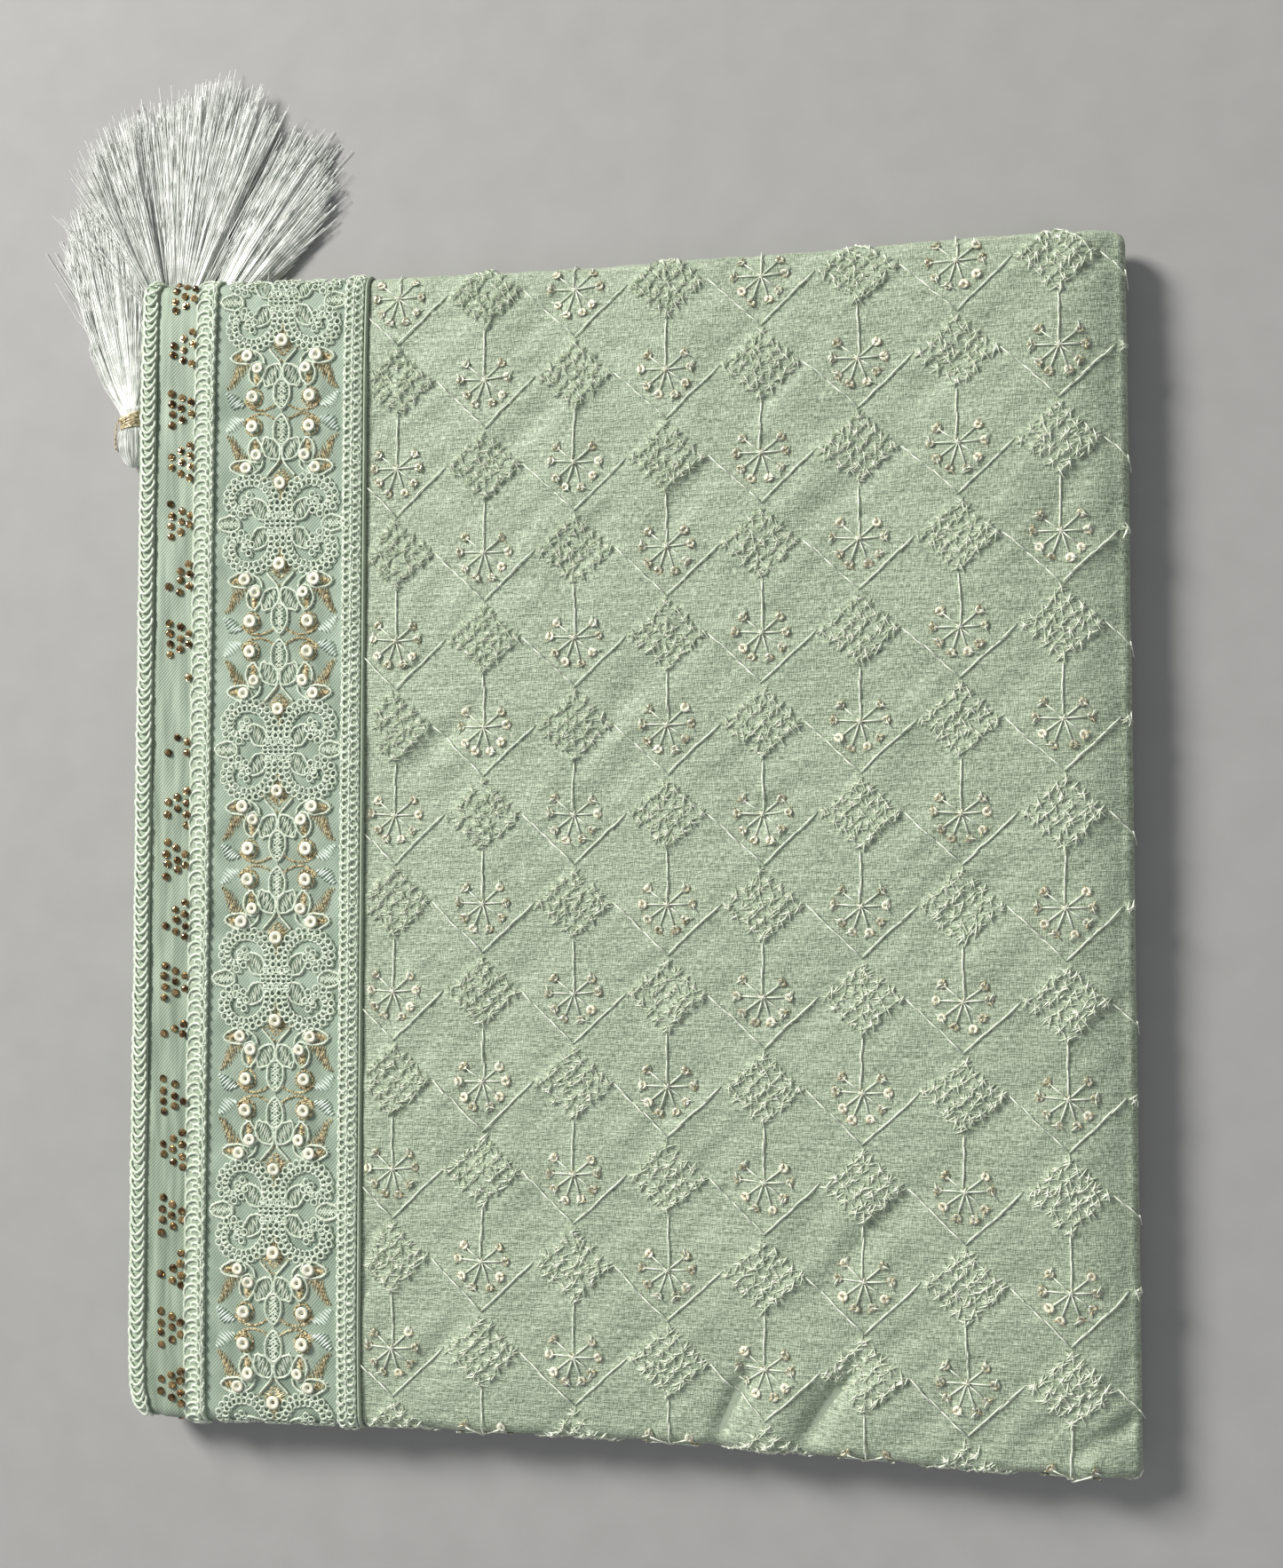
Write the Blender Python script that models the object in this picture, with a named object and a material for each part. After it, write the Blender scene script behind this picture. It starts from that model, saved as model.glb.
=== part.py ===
"""Embroidered dupatta stole, folded three times across and six times along its length.

It lies flat on a table with its long border on the left (-X) and its corner tassels at the
back left. The top layer is three sewn panels that turn down over the folds: the body cloth,
the embroidered border band and the narrow stone edging. Three corded braids and a piping
cover their seams. Under them the seventeen hidden layers are one rounded stack.

The frame is the middle of the underside, +X to the right, +Y to the back, +Z up, in metres.
Cloth places are given as (across, along, height): across and along are measured on the cloth,
so they run on round a fold, and height is measured out from the top of the hidden stack.
"""

import math

import bmesh
import bpy
from mathutils import Vector
from mathutils.geometry import delaunay_2d_cdt

# The folded packet. The cut is 1.056 m wide, folded in 3, and 2.43 m long, folded in 6.
WIDTH = 0.352
LENGTH = 0.405
STACK = 0.018
WALL = 0.0016
SEAM_GAP = 0.0003
UNDER_GAP = 0.0005

# How the stack thins towards its edges: the share lost at the edge, and how far in it starts.
# The right side slopes gently at first and then rolls off.
RIGHT_SLOPE, RIGHT_ROLL, RIGHT_RUN = 0.10, 0.26, 0.050
LEFT_LOSS, LEFT_RUN = 0.14, 0.040
END_LOSS, END_RUN = 0.10, 0.045

# The fold that the top layer turns over, at the back and front ends and at the right side.
END_RADIUS = 0.0042
END_TURN = math.radians(120)
SIDE_RADIUS = 0.0024
SIDE_TURN = math.radians(92)

# The packet is a little longer at its left end, where the borders lie on each other.
FLARE = 0.0072
FLARE_FROM = 0.040
SOFT_CORNER = 0.014

# Seams between the panels, and the braids that cover them, measured across from the middle.
EDGE_AT = -0.1745
BAND_SEAM = -0.1490
BODY_SEAM = -0.0885
BRAID_HEIGHT = 0.0017
BRAID_GAP = 0.0004
OUTER_BRAID = (-0.1760, -0.1690)
MIDDLE_BRAID = (-0.1533, -0.1447)
INNER_BRAID = (-0.0945, -0.0873)
PIPING_AT = -0.0862
PIPING_RADIUS = 0.0006

# The body cloth's lattice of filled lozenges.
PITCH_ACROSS = 0.03254
PITCH_ALONG = 0.03058
LATTICE_ACROSS = -0.0742
LATTICE_ALONG = 0.1932
LOZENGE_HALF = 0.0125
LOZENGE_RISE = 0.0009
LOZENGE_FLAT = 0.70
BESIDE_PIPING = -0.0847

# The border band's corded medallions, one to each repeat.
REPEAT = 0.0822
FIRST_MEDALLION = 0.2000
BAND_MIDDLE = -0.1196
MEDALLION_HALF = 0.0235
BESIDE_BRAIDS = (-0.1443, -0.0949)
CORD_RISE = 0.0012
PETAL_RISE = 0.0010

END_MIDDLE_RADIUS = END_RADIUS + WALL
SIDE_MIDDLE_RADIUS = SIDE_RADIUS + WALL
FLAT_END = LENGTH / 2 - WALL - END_RADIUS
FLAT_SIDE = WIDTH / 2 - WALL - SIDE_RADIUS
LAST_ALONG = FLAT_END + END_MIDDLE_RADIUS * END_TURN
LAST_ACROSS = FLAT_SIDE + SIDE_MIDDLE_RADIUS * SIDE_TURN
RAISED_END = FLAT_END + 0.003

SAGE = (0.52, 0.64, 0.52, 1)
SAGE_DARK = (0.45, 0.57, 0.46, 1)
MINT = (0.50, 0.66, 0.56, 1)
CORD = (0.68, 0.77, 0.68, 1)
SILK_WHITE = (0.82, 0.86, 0.82, 1)
GOLD = (0.55, 0.42, 0.20, 1)


def stack_height(across, along):
    """How high the hidden layers reach under a place on the top layer."""
    right = max(0.0, min(1.0, (across - (WIDTH / 2 - RIGHT_RUN)) / RIGHT_RUN))
    left = max(0.0, min(1.0, (-across - (WIDTH / 2 - LEFT_RUN)) / LEFT_RUN))
    end = max(0.0, (min(abs(along), FLAT_END) - (LENGTH / 2 - END_RUN)) / END_RUN)
    share = 1 - RIGHT_SLOPE * right**2 - RIGHT_ROLL * right**6 - LEFT_LOSS * left**2
    return STACK * share * (1 - END_LOSS * end**2)


def laid_out(x, y, z):
    """The packet's real outline: longer at the left, with one corner rounded by the thick braid."""
    longer = FLARE * (max(0.0, FLARE_FROM - x) / (FLARE_FROM + WIDTH / 2)) ** 2
    y *= 1 + longer / (LENGTH / 2)
    left = (SOFT_CORNER - (x + WIDTH / 2)) / SOFT_CORNER
    front = (SOFT_CORNER - (y + LENGTH / 2 + FLARE)) / SOFT_CORNER
    pull = 0.26 * SOFT_CORNER * max(0.0, min(left, 1.2)) * max(0.0, min(front, 1.2))
    return Vector((x + pull, y + pull, z))


def place(across, along, height):
    """Where a point of the top layer lies, turned down over the side fold and then the end folds."""
    x, out = across, height
    if across > FLAT_SIDE:
        turn = (across - FLAT_SIDE) / SIDE_MIDDLE_RADIUS
        x = FLAT_SIDE + (SIDE_RADIUS + height) * math.sin(turn)
        out = (SIDE_RADIUS + height) * math.cos(turn) - SIDE_RADIUS
    top = stack_height(min(across, FLAT_SIDE), along)
    if abs(along) <= FLAT_END:
        return laid_out(x, along, top + out)
    turn = (abs(along) - FLAT_END) / END_MIDDLE_RADIUS
    y = FLAT_END + (END_RADIUS + out) * math.sin(turn)
    z = top - END_RADIUS + (END_RADIUS + out) * math.cos(turn)
    return laid_out(x, math.copysign(y, along), z)


def evenly(low, high, step):
    """Values from low to high, about step apart, both ends included."""
    count = max(1, round((high - low) / step))
    return [low + (high - low) * i / count for i in range(count + 1)]


def rows_along():
    """The rows that every panel and braid shares: even on the flat, close together on the folds."""
    fold = [FLAT_END + END_MIDDLE_RADIUS * END_TURN * i / 4 for i in range(1, 5)]
    flat = evenly(-FLAT_END, FLAT_END, 0.0135)
    return [-value for value in reversed(fold)] + flat + fold


ROWS = rows_along()


def columns_across(low, high, step):
    """Columns of one panel, close together where it turns over the side fold."""
    if high <= FLAT_SIDE:
        return evenly(low, high, step)
    near = evenly(low, FLAT_SIDE - 0.030, step)
    slope = evenly(FLAT_SIDE - 0.030, FLAT_SIDE, 0.006)[1:]
    fold = [FLAT_SIDE + (high - FLAT_SIDE) * i / 4 for i in range(1, 5)]
    return near + slope + fold


def shaped(name, points, faces, colour, roughness=0.7, metallic=0.0):
    """A named object from points and faces, with its own material."""
    mesh = bpy.data.meshes.new(name)
    mesh.from_pydata([tuple(point) for point in points], [], faces)
    mesh.validate()
    mesh.shade_smooth()
    mesh.set_sharp_from_angle(angle=math.radians(35))
    made = bpy.data.objects.new(name, mesh)
    bpy.context.scene.collection.objects.link(made)
    material = bpy.data.materials.new(name)
    material.use_nodes = True
    finish = material.node_tree.nodes["Principled BSDF"]
    finish.inputs["Base Color"].default_value = colour
    finish.inputs["Roughness"].default_value = roughness
    finish.inputs["Metallic"].default_value = metallic
    mesh.materials.append(material)
    return made


def triangulated(loop, inside, kept=()):
    """Triangles, as indices into loop + inside, that fill a loop and keep the given edges."""
    flat = [Vector(spot[:2]) * 1000 for spot in loop + inside]
    edges = [(i, (i + 1) % len(loop)) for i in range(len(loop))] + list(kept)
    found, _, faces, sources, _, _ = delaunay_2d_cdt(flat, edges, [], 1, 1e-6)
    back = [source[0] for source in sources]
    assert len(found) == len(flat)
    return [tuple(back[i] for i in face) for face in faces]


def upward(faces, flat):
    """The faces, each turned to run anticlockwise seen from above."""
    turned = []
    for a, b, c in faces:
        ab, ac = flat[b] - flat[a], flat[c] - flat[a]
        turned.append((a, b, c) if ab.x * ac.y > ab.y * ac.x else (a, c, b))
    return turned


def rim(low, high, columns):
    """A panel's edge, anticlockwise, through its columns and the shared rows."""
    front = [(across, ROWS[0]) for across in columns]
    right = [(high, along) for along in ROWS[1:-1]]
    back = [(across, ROWS[-1]) for across in reversed(columns)]
    left = [(low, along) for along in reversed(ROWS[1:-1])]
    return front + right + back + left


def sparse(columns, level):
    """A panel's inner grid: each crossing near the packet's sloping edges, few on its flat middle."""
    found = []
    for i, across in enumerate(columns[1:-1]):
        for j, along in enumerate(ROWS[1:-1]):
            sloping = abs(along) > LENGTH / 2 - END_RUN or across > WIDTH / 2 - RIGHT_RUN
            sloping = sloping or across < BAND_SEAM
            if across not in level and (sloping or (i + j) % 4 == 0):
                found.append((across, along))
    return found


def lines_along(loop, level, before):
    """Places on level lines that run the panel's whole length, and the edges that keep them."""
    places, edges = [], []
    for across in level:
        chain = [loop.index((across, ROWS[0]))]
        for along in ROWS[1:-1]:
            chain.append(before + len(places))
            places.append((across, along))
        chain.append(loop.index((across, ROWS[-1])))
        edges += list(zip(chain, chain[1:]))
    return places, edges


def panel(name, low, high, step, relief, clear, level, colour):
    """One sewn panel: a wall whose outer points carry the relief and whose inside is plain."""
    columns = sorted(columns_across(low, high, step) + list(level))
    loop = rim(low, high, columns)
    grid = sparse(columns, level)
    raised = [point for point in relief if low + 0.001 < point[0] < high - 0.001]
    lines, kept = lines_along(loop, level, len(loop))
    bare = lines + [point for point in grid if not clear(*point)]
    outside = bare + [(across, along) for across, along, _ in raised]
    heights = [WALL] * (len(loop) + len(bare)) + [WALL + rise for _, _, rise in raised]
    outer_faces = upward(triangulated(loop, outside, kept), [Vector(p) for p in loop + outside])
    inner_faces = upward(triangulated(loop, grid), [Vector(p) for p in loop + grid])
    outer = [place(a, b, h) for (a, b), h in zip(loop + outside, heights)]
    inner = [place(a, b, 0.0) for a, b in loop + grid]
    shift, count = len(outer), len(loop)
    faces = list(outer_faces)
    faces += [(c + shift, b + shift, a + shift) for a, b, c in inner_faces]
    for i in range(count):
        j = (i + 1) % count
        faces.append((i, i + shift, j + shift, j))
    return shaped(name, outer + inner, faces, colour)


def lozenges():
    """The middle of each filled lozenge that lies on the flat, as (across, along)."""
    found = []
    for column in range(8):
        for row in range(14):
            across = LATTICE_ACROSS + column * PITCH_ACROSS
            along = LATTICE_ALONG - row * PITCH_ALONG
            if (column + row) % 2 and abs(along) < RAISED_END:
                found.append((across, along))
    return found


# The largest soft creases: where each one's middle lies, its length, its turn from across in
# degrees, its width, and how far it sinks. The front ones are puckers drawn in at the fold.
CREASES = (
    # across, along, length, turn, width, depth
    (-0.0300, 0.1420, 0.040, 38, 0.0070, 0.0004),
    (0.0150, 0.0560, 0.046, 42, 0.0075, 0.0004),
    (0.0880, 0.1200, 0.044, 35, 0.0080, 0.0004),
    (-0.0260, -0.0420, 0.046, 44, 0.0075, 0.0004),
    (0.0740, -0.0560, 0.048, 40, 0.0080, 0.0004),
    (0.0080, -0.1270, 0.040, 46, 0.0070, 0.0004),
    (0.0330, -0.1880, 0.026, 62, 0.0060, 0.0006),
    (0.0640, -0.1740, 0.044, 50, 0.0060, 0.0006),
    (0.1050, -0.1560, 0.046, 38, 0.0070, 0.0005),
    (0.1480, -0.1850, 0.030, 40, 0.0060, 0.0006),
)


def crease_points():
    """Outer points of the soft creases: a sunk middle line between two lines left level."""
    found = []
    for across, along, length, turn, width, depth in CREASES:
        run = Vector((math.cos(math.radians(turn)), math.sin(math.radians(turn))))
        side = Vector((-run.y, run.x)) * width
        for i in range(5):
            share = i / 4
            middle = Vector((across, along)) + run * length * (share - 0.5)
            sink = depth * math.sin(math.pi * (0.12 + 0.76 * share))
            for offset, drop in ((-1, 0.0), (0, -sink), (1, 0.0)):
                point = middle + side * offset
                if not in_lozenge(point.x, point.y, 1.15) and abs(point.y) < FLAT_END:
                    found.append((point.x, point.y, drop))
    return found


def in_lozenge(across, along, share=1.12):
    """Whether a place is on one of the filled lozenges, or within a share of its size."""
    if abs(along) > RAISED_END:
        return False
    for middle_across, middle_along in LOZENGES:
        away = abs(across - middle_across) + abs(along - middle_along)
        if away < LOZENGE_HALF * share:
            return True
    return False


def lozenge_points():
    """Outer points of the lozenges: a raised flat top with four sloping sides."""
    found = []
    for across, along in LOZENGES:
        found.append((across, along, LOZENGE_RISE))
        for x, y in ((1, 0), (0, 1), (-1, 0), (0, -1)):
            inner, outer = LOZENGE_HALF * LOZENGE_FLAT, LOZENGE_HALF
            found.append((max(across + x * inner, BESIDE_PIPING + 0.003), along + y * inner, LOZENGE_RISE))
            if across + x * outer > BESIDE_PIPING:
                found.append((across + x * outer, along + y * outer, 0.0))
    return [point for point in found if abs(point[1]) < RAISED_END]


def scroll_line(count):
    """One corded scroll, from beside the medallion's middle out, over and curling back in."""
    line = []
    for i in range(count):
        share = i / (count - 1)
        angle = math.radians(-62 + 395 * share)
        radius = 0.0093 - 0.0052 * share
        line.append((0.0118 - radius * math.cos(angle) * 0.95, 0.0088 + radius * math.sin(angle) * 0.92))
    return line


# The petals above each medallion, by their middles, length, width and turn in degrees.
PETALS = (
    # across, along, length, width, turn
    (0.0073, 0.0052, 0.0072, 0.0042, 48),
    (0.0205, 0.0000, 0.0084, 0.0048, 0),
    (0.0148, 0.0203, 0.0086, 0.0046, 12),
    (0.0090, 0.0264, 0.0084, 0.0044, 76),
    (0.0036, 0.0272, 0.0086, 0.0046, 108),
    (0.0000, 0.0345, 0.0096, 0.0052, 90),
    (0.0172, 0.0280, 0.0112, 0.0040, 38),
    (0.0000, 0.0145, 0.0120, 0.0090, 90),
)


# One petal's points, in shares of its length, its width and its rise.
PETAL_SHAPE = (
    # along, aside, rise
    (0.24, 0.0, 1.0),
    (-0.24, 0.0, 1.0),
    (0.58, 0.0, 0.0),
    (-0.58, 0.0, 0.0),
    (0.0, 0.62, 0.0),
    (0.0, -0.62, 0.0),
)


def motif_points():
    """Raised and level points of a quarter medallion, as (across, along, rise)."""
    found = []
    line = scroll_line(13)
    for i, (x, y) in enumerate(line):
        before, after = line[max(0, i - 1)], line[min(len(line) - 1, i + 1)]
        run = Vector((after[0] - before[0], after[1] - before[1])).normalized()
        found.append((x, y, CORD_RISE))
        if i % 2 == 0 and i < 9:
            found.append((x + run.y * 0.0030, y - run.x * 0.0030, 0.0))
            found.append((x - run.y * 0.0030, y + run.x * 0.0030, 0.0))
    for across, along, length, width, turn in PETALS:
        run = Vector((math.cos(math.radians(turn)), math.sin(math.radians(turn))))
        side = Vector((-run.y, run.x))
        middle = Vector((across, along))
        for reach, off, rise in PETAL_SHAPE:
            point = middle + run * length * reach + side * width * off
            found.append((point.x, point.y, PETAL_RISE * rise))
    return found


def medallion_points():
    """Outer points of the border band: the quarter motif mirrored both ways on each repeat."""
    found, taken = [], set()
    quarter = motif_points()
    for number in range(6):
        middle = FIRST_MEDALLION - number * REPEAT
        for flip_across in (1, -1):
            for flip_along in (1, -1):
                for across, along, rise in quarter:
                    x = BAND_MIDDLE + flip_across * across
                    y = middle + flip_along * along
                    spot = (round(x / 0.0011), round(y / 0.0011))
                    fits = abs(y) < RAISED_END and abs(x - BAND_MIDDLE) < MEDALLION_HALF
                    if fits and spot not in taken:
                        taken.add(spot)
                        found.append((x, y, rise))
    return found


def braid(name, low, high, height, colour, arch=5):
    """A corded braid along the whole edge: a low arched strip just above the panels."""
    points, faces = [], []
    profile = [(low, 0.0)]
    for i in range(arch):
        share = i / (arch - 1)
        profile.append((low + (high - low) * share, height * (0.55 + 0.45 * math.sin(math.pi * share))))
    profile.append((high, 0.0))
    count = len(profile)
    for along in ROWS:
        for across, rise in profile:
            points.append(place(across, along, WALL + BRAID_GAP + rise))
    for row in range(len(ROWS) - 1):
        for i in range(count):
            j = (i + 1) % count
            near, far = row * count, (row + 1) * count
            faces.append((near + i, far + i, far + j, near + j))
    faces.append(tuple(range(count)))
    faces.append(tuple(len(points) - 1 - i for i in range(count)))
    return shaped(name, points, faces, colour)


def side_profile(side, level, top):
    """(inset, height) of the hidden stack's side at one of its levels, from the top down."""
    if side == "left":
        layer, share = divmod(level, 3)
        groove = 0.0014 if share == 0 else 0.0
        return LEFT_STEPS[layer] + groove, (top - UNDER_GAP) * (1 - level / LEVELS)
    skin = WALL + UNDER_GAP
    radius = END_RADIUS - UNDER_GAP
    if level < 6:
        turn = math.radians(30 * level)
        inset = skin + END_RADIUS - radius * math.sin(turn)
        return inset, top - END_RADIUS + radius * math.cos(turn)
    groove = top - 2 * END_RADIUS - 0.0002
    noses = 3 if side == "right" else 1
    share = (level - 6) / (LEVELS - 6)
    bulge = abs(math.sin(math.pi * share * noses)) ** 0.6
    depth = min(0.0024, groove / noses / 2)
    return 0.0006 + depth * (1 - bulge), groove * (1 - share)


LEVELS = 15
# How far in each bundle of layers lies at the open left side, from the top down.
LEFT_STEPS = (0.0012, 0.0004, 0.0016, -0.0008, -0.0020, -0.0020)
STACK_CORNER = 0.009


def stack_outline():
    """The stack's outline: (point, outward direction, sides and their shares), anticlockwise."""
    half_x, half_y = WIDTH / 2, LENGTH / 2
    found = []
    straights = (
        ("front", Vector((0, -1)), evenly(-half_x + STACK_CORNER, half_x - STACK_CORNER, 0.030)),
        ("right", Vector((1, 0)), evenly(-half_y + STACK_CORNER, half_y - STACK_CORNER, 0.035)),
        ("back", Vector((0, 1)), evenly(half_x - STACK_CORNER, -half_x + STACK_CORNER, -0.030)),
        ("left", Vector((-1, 0)), evenly(half_y - STACK_CORNER, -half_y + STACK_CORNER, -0.035)),
    )
    for number, (side, normal, values) in enumerate(straights):
        for value in values:
            point = Vector((value, normal.y * half_y)) if normal.y else Vector((normal.x * half_x, value))
            found.append((point, normal, {side: 1.0}))
        following, next_normal, _ = straights[(number + 1) % 4]
        middle = found[-1][0] - normal * STACK_CORNER
        for i in (1, 2, 3):
            angle = math.radians(90) * i / 4
            out = normal * math.cos(angle) + next_normal * math.sin(angle)
            found.append((middle + out * STACK_CORNER, out, {side: 1 - i / 4, following: i / 4}))
    return found


def hidden_stack():
    """The layers under the top one: a rounded pile whose sides show the folds lying on each other."""
    outline = stack_outline()
    rings = []
    for level in range(LEVELS + 1):
        ring = []
        for point, out, sides in outline:
            top = stack_height(min(point.x, FLAT_SIDE), point.y)
            inset = height = 0.0
            for side, share in sides.items():
                this_inset, this_height = side_profile(side, level, top)
                inset = max(inset, this_inset * min(1.0, 1.5 * share))
                height += share * this_height
            spot = point - out * inset
            ring.append((spot.x, spot.y, max(0.0, height)))
        rings.append(ring)
    inside = [
        (x, y)
        for x in evenly(-WIDTH / 2 + 0.016, WIDTH / 2 - 0.016, 0.018)
        for y in evenly(-LENGTH / 2 + 0.016, LENGTH / 2 - 0.016, 0.024)
    ]
    count = len(outline)
    points = [laid_out(*spot) for ring in rings for spot in ring]
    points += [laid_out(x, y, stack_height(x, y) - UNDER_GAP) for x, y in inside]
    top_loop = [spot[:2] for spot in rings[0]]
    cap = upward(triangulated(top_loop, inside), [Vector(p) for p in top_loop + inside])
    shift = count * len(rings) - count
    faces = [tuple(i if i < count else i + shift for i in face) for face in cap]
    for level in range(LEVELS):
        for i in range(count):
            j = (i + 1) % count
            near, far = level * count, (level + 1) * count
            faces.append((near + i, far + i, far + j, near + j))
    floor_loop = [spot[:2] for spot in rings[-1]]
    floor = upward(triangulated(floor_loop, []), [Vector(p) for p in floor_loop])
    faces += [tuple(reversed([i + LEVELS * count for i in face])) for face in floor]
    return shaped("hidden_layers", points, faces, SAGE_DARK)


POCKET = ((-0.1900, -0.1450), (0.1745, 0.2250), (-0.0010, 0.0072))


def open_pocket(stack):
    """The hollow at the stack's back left corner, where two tassels lie under the top layer."""
    (x0, x1), (y0, y1), (z0, z1) = POCKET
    mesh = bpy.data.meshes.new("pocket_cutter")
    shape = bmesh.new()
    bmesh.ops.create_cube(shape, size=1.0)
    for vert in shape.verts:
        vert.co = Vector(((x0, x1)[vert.co.x > 0], (y0, y1)[vert.co.y > 0], (z0, z1)[vert.co.z > 0]))
    shape.to_mesh(mesh)
    shape.free()
    cutter = bpy.data.objects.new("pocket_cutter", mesh)
    bpy.context.scene.collection.objects.link(cutter)
    cutter.hide_render = True
    cutter.display_type = "WIRE"
    cut = stack.modifiers.new("pocket", "BOOLEAN")
    cut.operation = "DIFFERENCE"
    cut.solver = "EXACT"
    cut.object = cutter


# The tassels: where the threads leave the binding, the head's far end, and the tips of the
# leftmost, middle and rightmost threads, seen from above; then how many locks of thread lie
# side by side and on each other, and how high they lie at the tips.
TASSELS = {
    "tassel_left": dict(
        root=(-0.1880, 0.1668), tail=(-0.1868, 0.1439), height=0.0038,
        tips=((-0.2170, 0.2320), (-0.2060, 0.2470), (-0.1727, 0.2209)),
        threads=(9, 3), low=0.0010, thick=0.0042,
    ),
    "tassel_middle": dict(
        root=(-0.1688, 0.1985), tail=(-0.1680, 0.1795), height=0.0037,
        tips=((-0.2030, 0.2700), (-0.1640, 0.2930), (-0.1260, 0.2790)),
        threads=(15, 4), low=0.0010, thick=0.0060,
    ),
    "tassel_right": dict(
        root=(-0.1555, 0.1985), tail=(-0.1550, 0.1795), height=0.0037,
        tips=((-0.1215, 0.2710), (-0.1045, 0.2560), (-0.1090, 0.2360)),
        threads=(9, 4), low=0.0010, thick=0.0060,
    ),
}
HEAD_HALF = 0.0056
HEAD_RISE = 0.0031
NECK_SHARE = 0.74
ROOT_DEPTH = 0.0012
ROOT_SPREAD = 0.72
LOCK_RINGS = (0.0, 0.20, 0.50, 0.78)
LOCK_SHARE = 0.72
BINDING_LENGTH = 0.0042


def head_sections(facts):
    """The tassel head's rings along its length: (place, half width, half height)."""
    root = Vector((*facts["root"], facts["height"]))
    tail = Vector((*facts["tail"], facts["height"]))
    shape = (
        (0.0, 0.96),
        (0.07, 0.90),
        (0.13, NECK_SHARE),
        (0.34, NECK_SHARE),
        (0.42, 0.98),
        (0.60, 1.0),
        (0.80, 0.86),
        (0.93, 0.52),
        (1.0, 0.16),
    )
    return [(root.lerp(tail, share), HEAD_HALF * size, HEAD_RISE * size) for share, size in shape]


def tube(sections, run, sides):
    """Points and faces of a closed tube through elliptical rings that face along run."""
    side = Vector((-run.y, run.x, 0)).normalized()
    points, faces = [], []
    for middle, wide, tall in sections:
        for i in range(sides):
            angle = math.tau * i / sides
            points.append(middle + side * wide * math.cos(angle) + Vector((0, 0, tall * math.sin(angle))))
    for ring in range(len(sections) - 1):
        for i in range(sides):
            j = (i + 1) % sides
            near, far = ring * sides, (ring + 1) * sides
            faces.append((near + i, near + j, far + j, far + i))
    faces.append(tuple(reversed(range(sides))))
    faces.append(tuple(len(points) - sides + i for i in range(sides)))
    return points, faces


def through(first, middle, last, share):
    """A point on the curve through three points, at -1, 0 and 1."""
    bend = (first + last) / 2 - middle
    return middle + (last - first) / 2 * share + bend * share * share


def lock_point(facts, run, u, v, w):
    """A place in a tassel's skirt: u is -1 to 1 across, v is -1 to 1 in height, w is 0 to 1 along."""
    side = Vector((run.y, -run.x, 0)).normalized()
    room = math.sqrt(1 - (0.85 * v) ** 2)
    root = Vector((*facts["root"], facts["height"])) - run * ROOT_DEPTH
    start = root + side * u * HEAD_HALF * ROOT_SPREAD * room + Vector((0, 0, v * HEAD_RISE * ROOT_SPREAD))
    tip = through(*[Vector((*spot, 0.0)) for spot in facts["tips"]], u)
    tip.z = facts["low"] + facts["thick"] * (v + 1) / 2
    bend = start + run * (tip - start).length * 0.42
    bend.z = (start.z + tip.z) / 2
    return start * (1 - w) ** 2 + bend * 2 * w * (1 - w) + tip * w * w


def thread_lock(facts, run, column, row):
    """One lock of tassel threads: a three-sided tube that fills its share of the skirt and ends in a tip."""
    columns, rows = facts["threads"]
    shift = 0.25 if row % 2 else -0.25
    u = 2 * (column + 0.5 + shift) / columns - 1
    v = 2 * (row + 0.5) / rows - 1
    points = []
    for w in LOCK_RINGS:
        middle = lock_point(facts, run, u, v, w)
        aside = (lock_point(facts, run, u + 1 / columns, v, w) - middle) * LOCK_SHARE
        above = (lock_point(facts, run, u, v + 1 / rows, w) - middle) * LOCK_SHARE
        points += [middle - aside - above, middle + aside - above, middle + above]
    last = 0.93 + 0.07 * math.sin(7.3 * column + 4.1 * row)
    points.append(lock_point(facts, run, u, v, last))
    faces = [(2, 1, 0)]
    for ring in range(len(LOCK_RINGS) - 1):
        for i in range(3):
            j = (i + 1) % 3
            near, far = ring * 3, (ring + 1) * 3
            faces.append((near + i, near + j, far + j, far + i))
    end = len(points) - 1
    faces += [(end - 3, end - 2, end), (end - 2, end - 1, end), (end - 1, end - 3, end)]
    return points, faces


def tassel(name, facts):
    """A silk tassel lying on its side: its locks of thread are fused into its bound head."""
    run = (Vector((*facts["root"], 0)) - Vector((*facts["tail"], 0))).normalized()
    points, faces = tube(head_sections(facts), -run, 12)
    head = shaped(name, points, faces, SILK_WHITE, roughness=0.45)
    columns, rows = facts["threads"]
    points, faces = [], []
    for row in range(rows):
        for column in range(columns):
            lock_points, lock_faces = thread_lock(facts, run, column, row)
            faces += [tuple(i + len(points) for i in face) for face in lock_faces]
            points += lock_points
    locks = shaped(name + "_locks", points, faces, SILK_WHITE)
    facing_out(head)
    facing_out(locks)
    locks.hide_render = True
    locks.display_type = "WIRE"
    join = head.modifiers.new("locks", "BOOLEAN")
    join.operation = "UNION"
    join.solver = "MANIFOLD"
    join.object = locks
    return head


def facing_out(made):
    """Turns the faces of a closed mesh outwards."""
    shape = bmesh.new()
    shape.from_mesh(made.data)
    bmesh.ops.recalc_face_normals(shape, faces=shape.faces)
    shape.to_mesh(made.data)
    shape.free()


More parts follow.
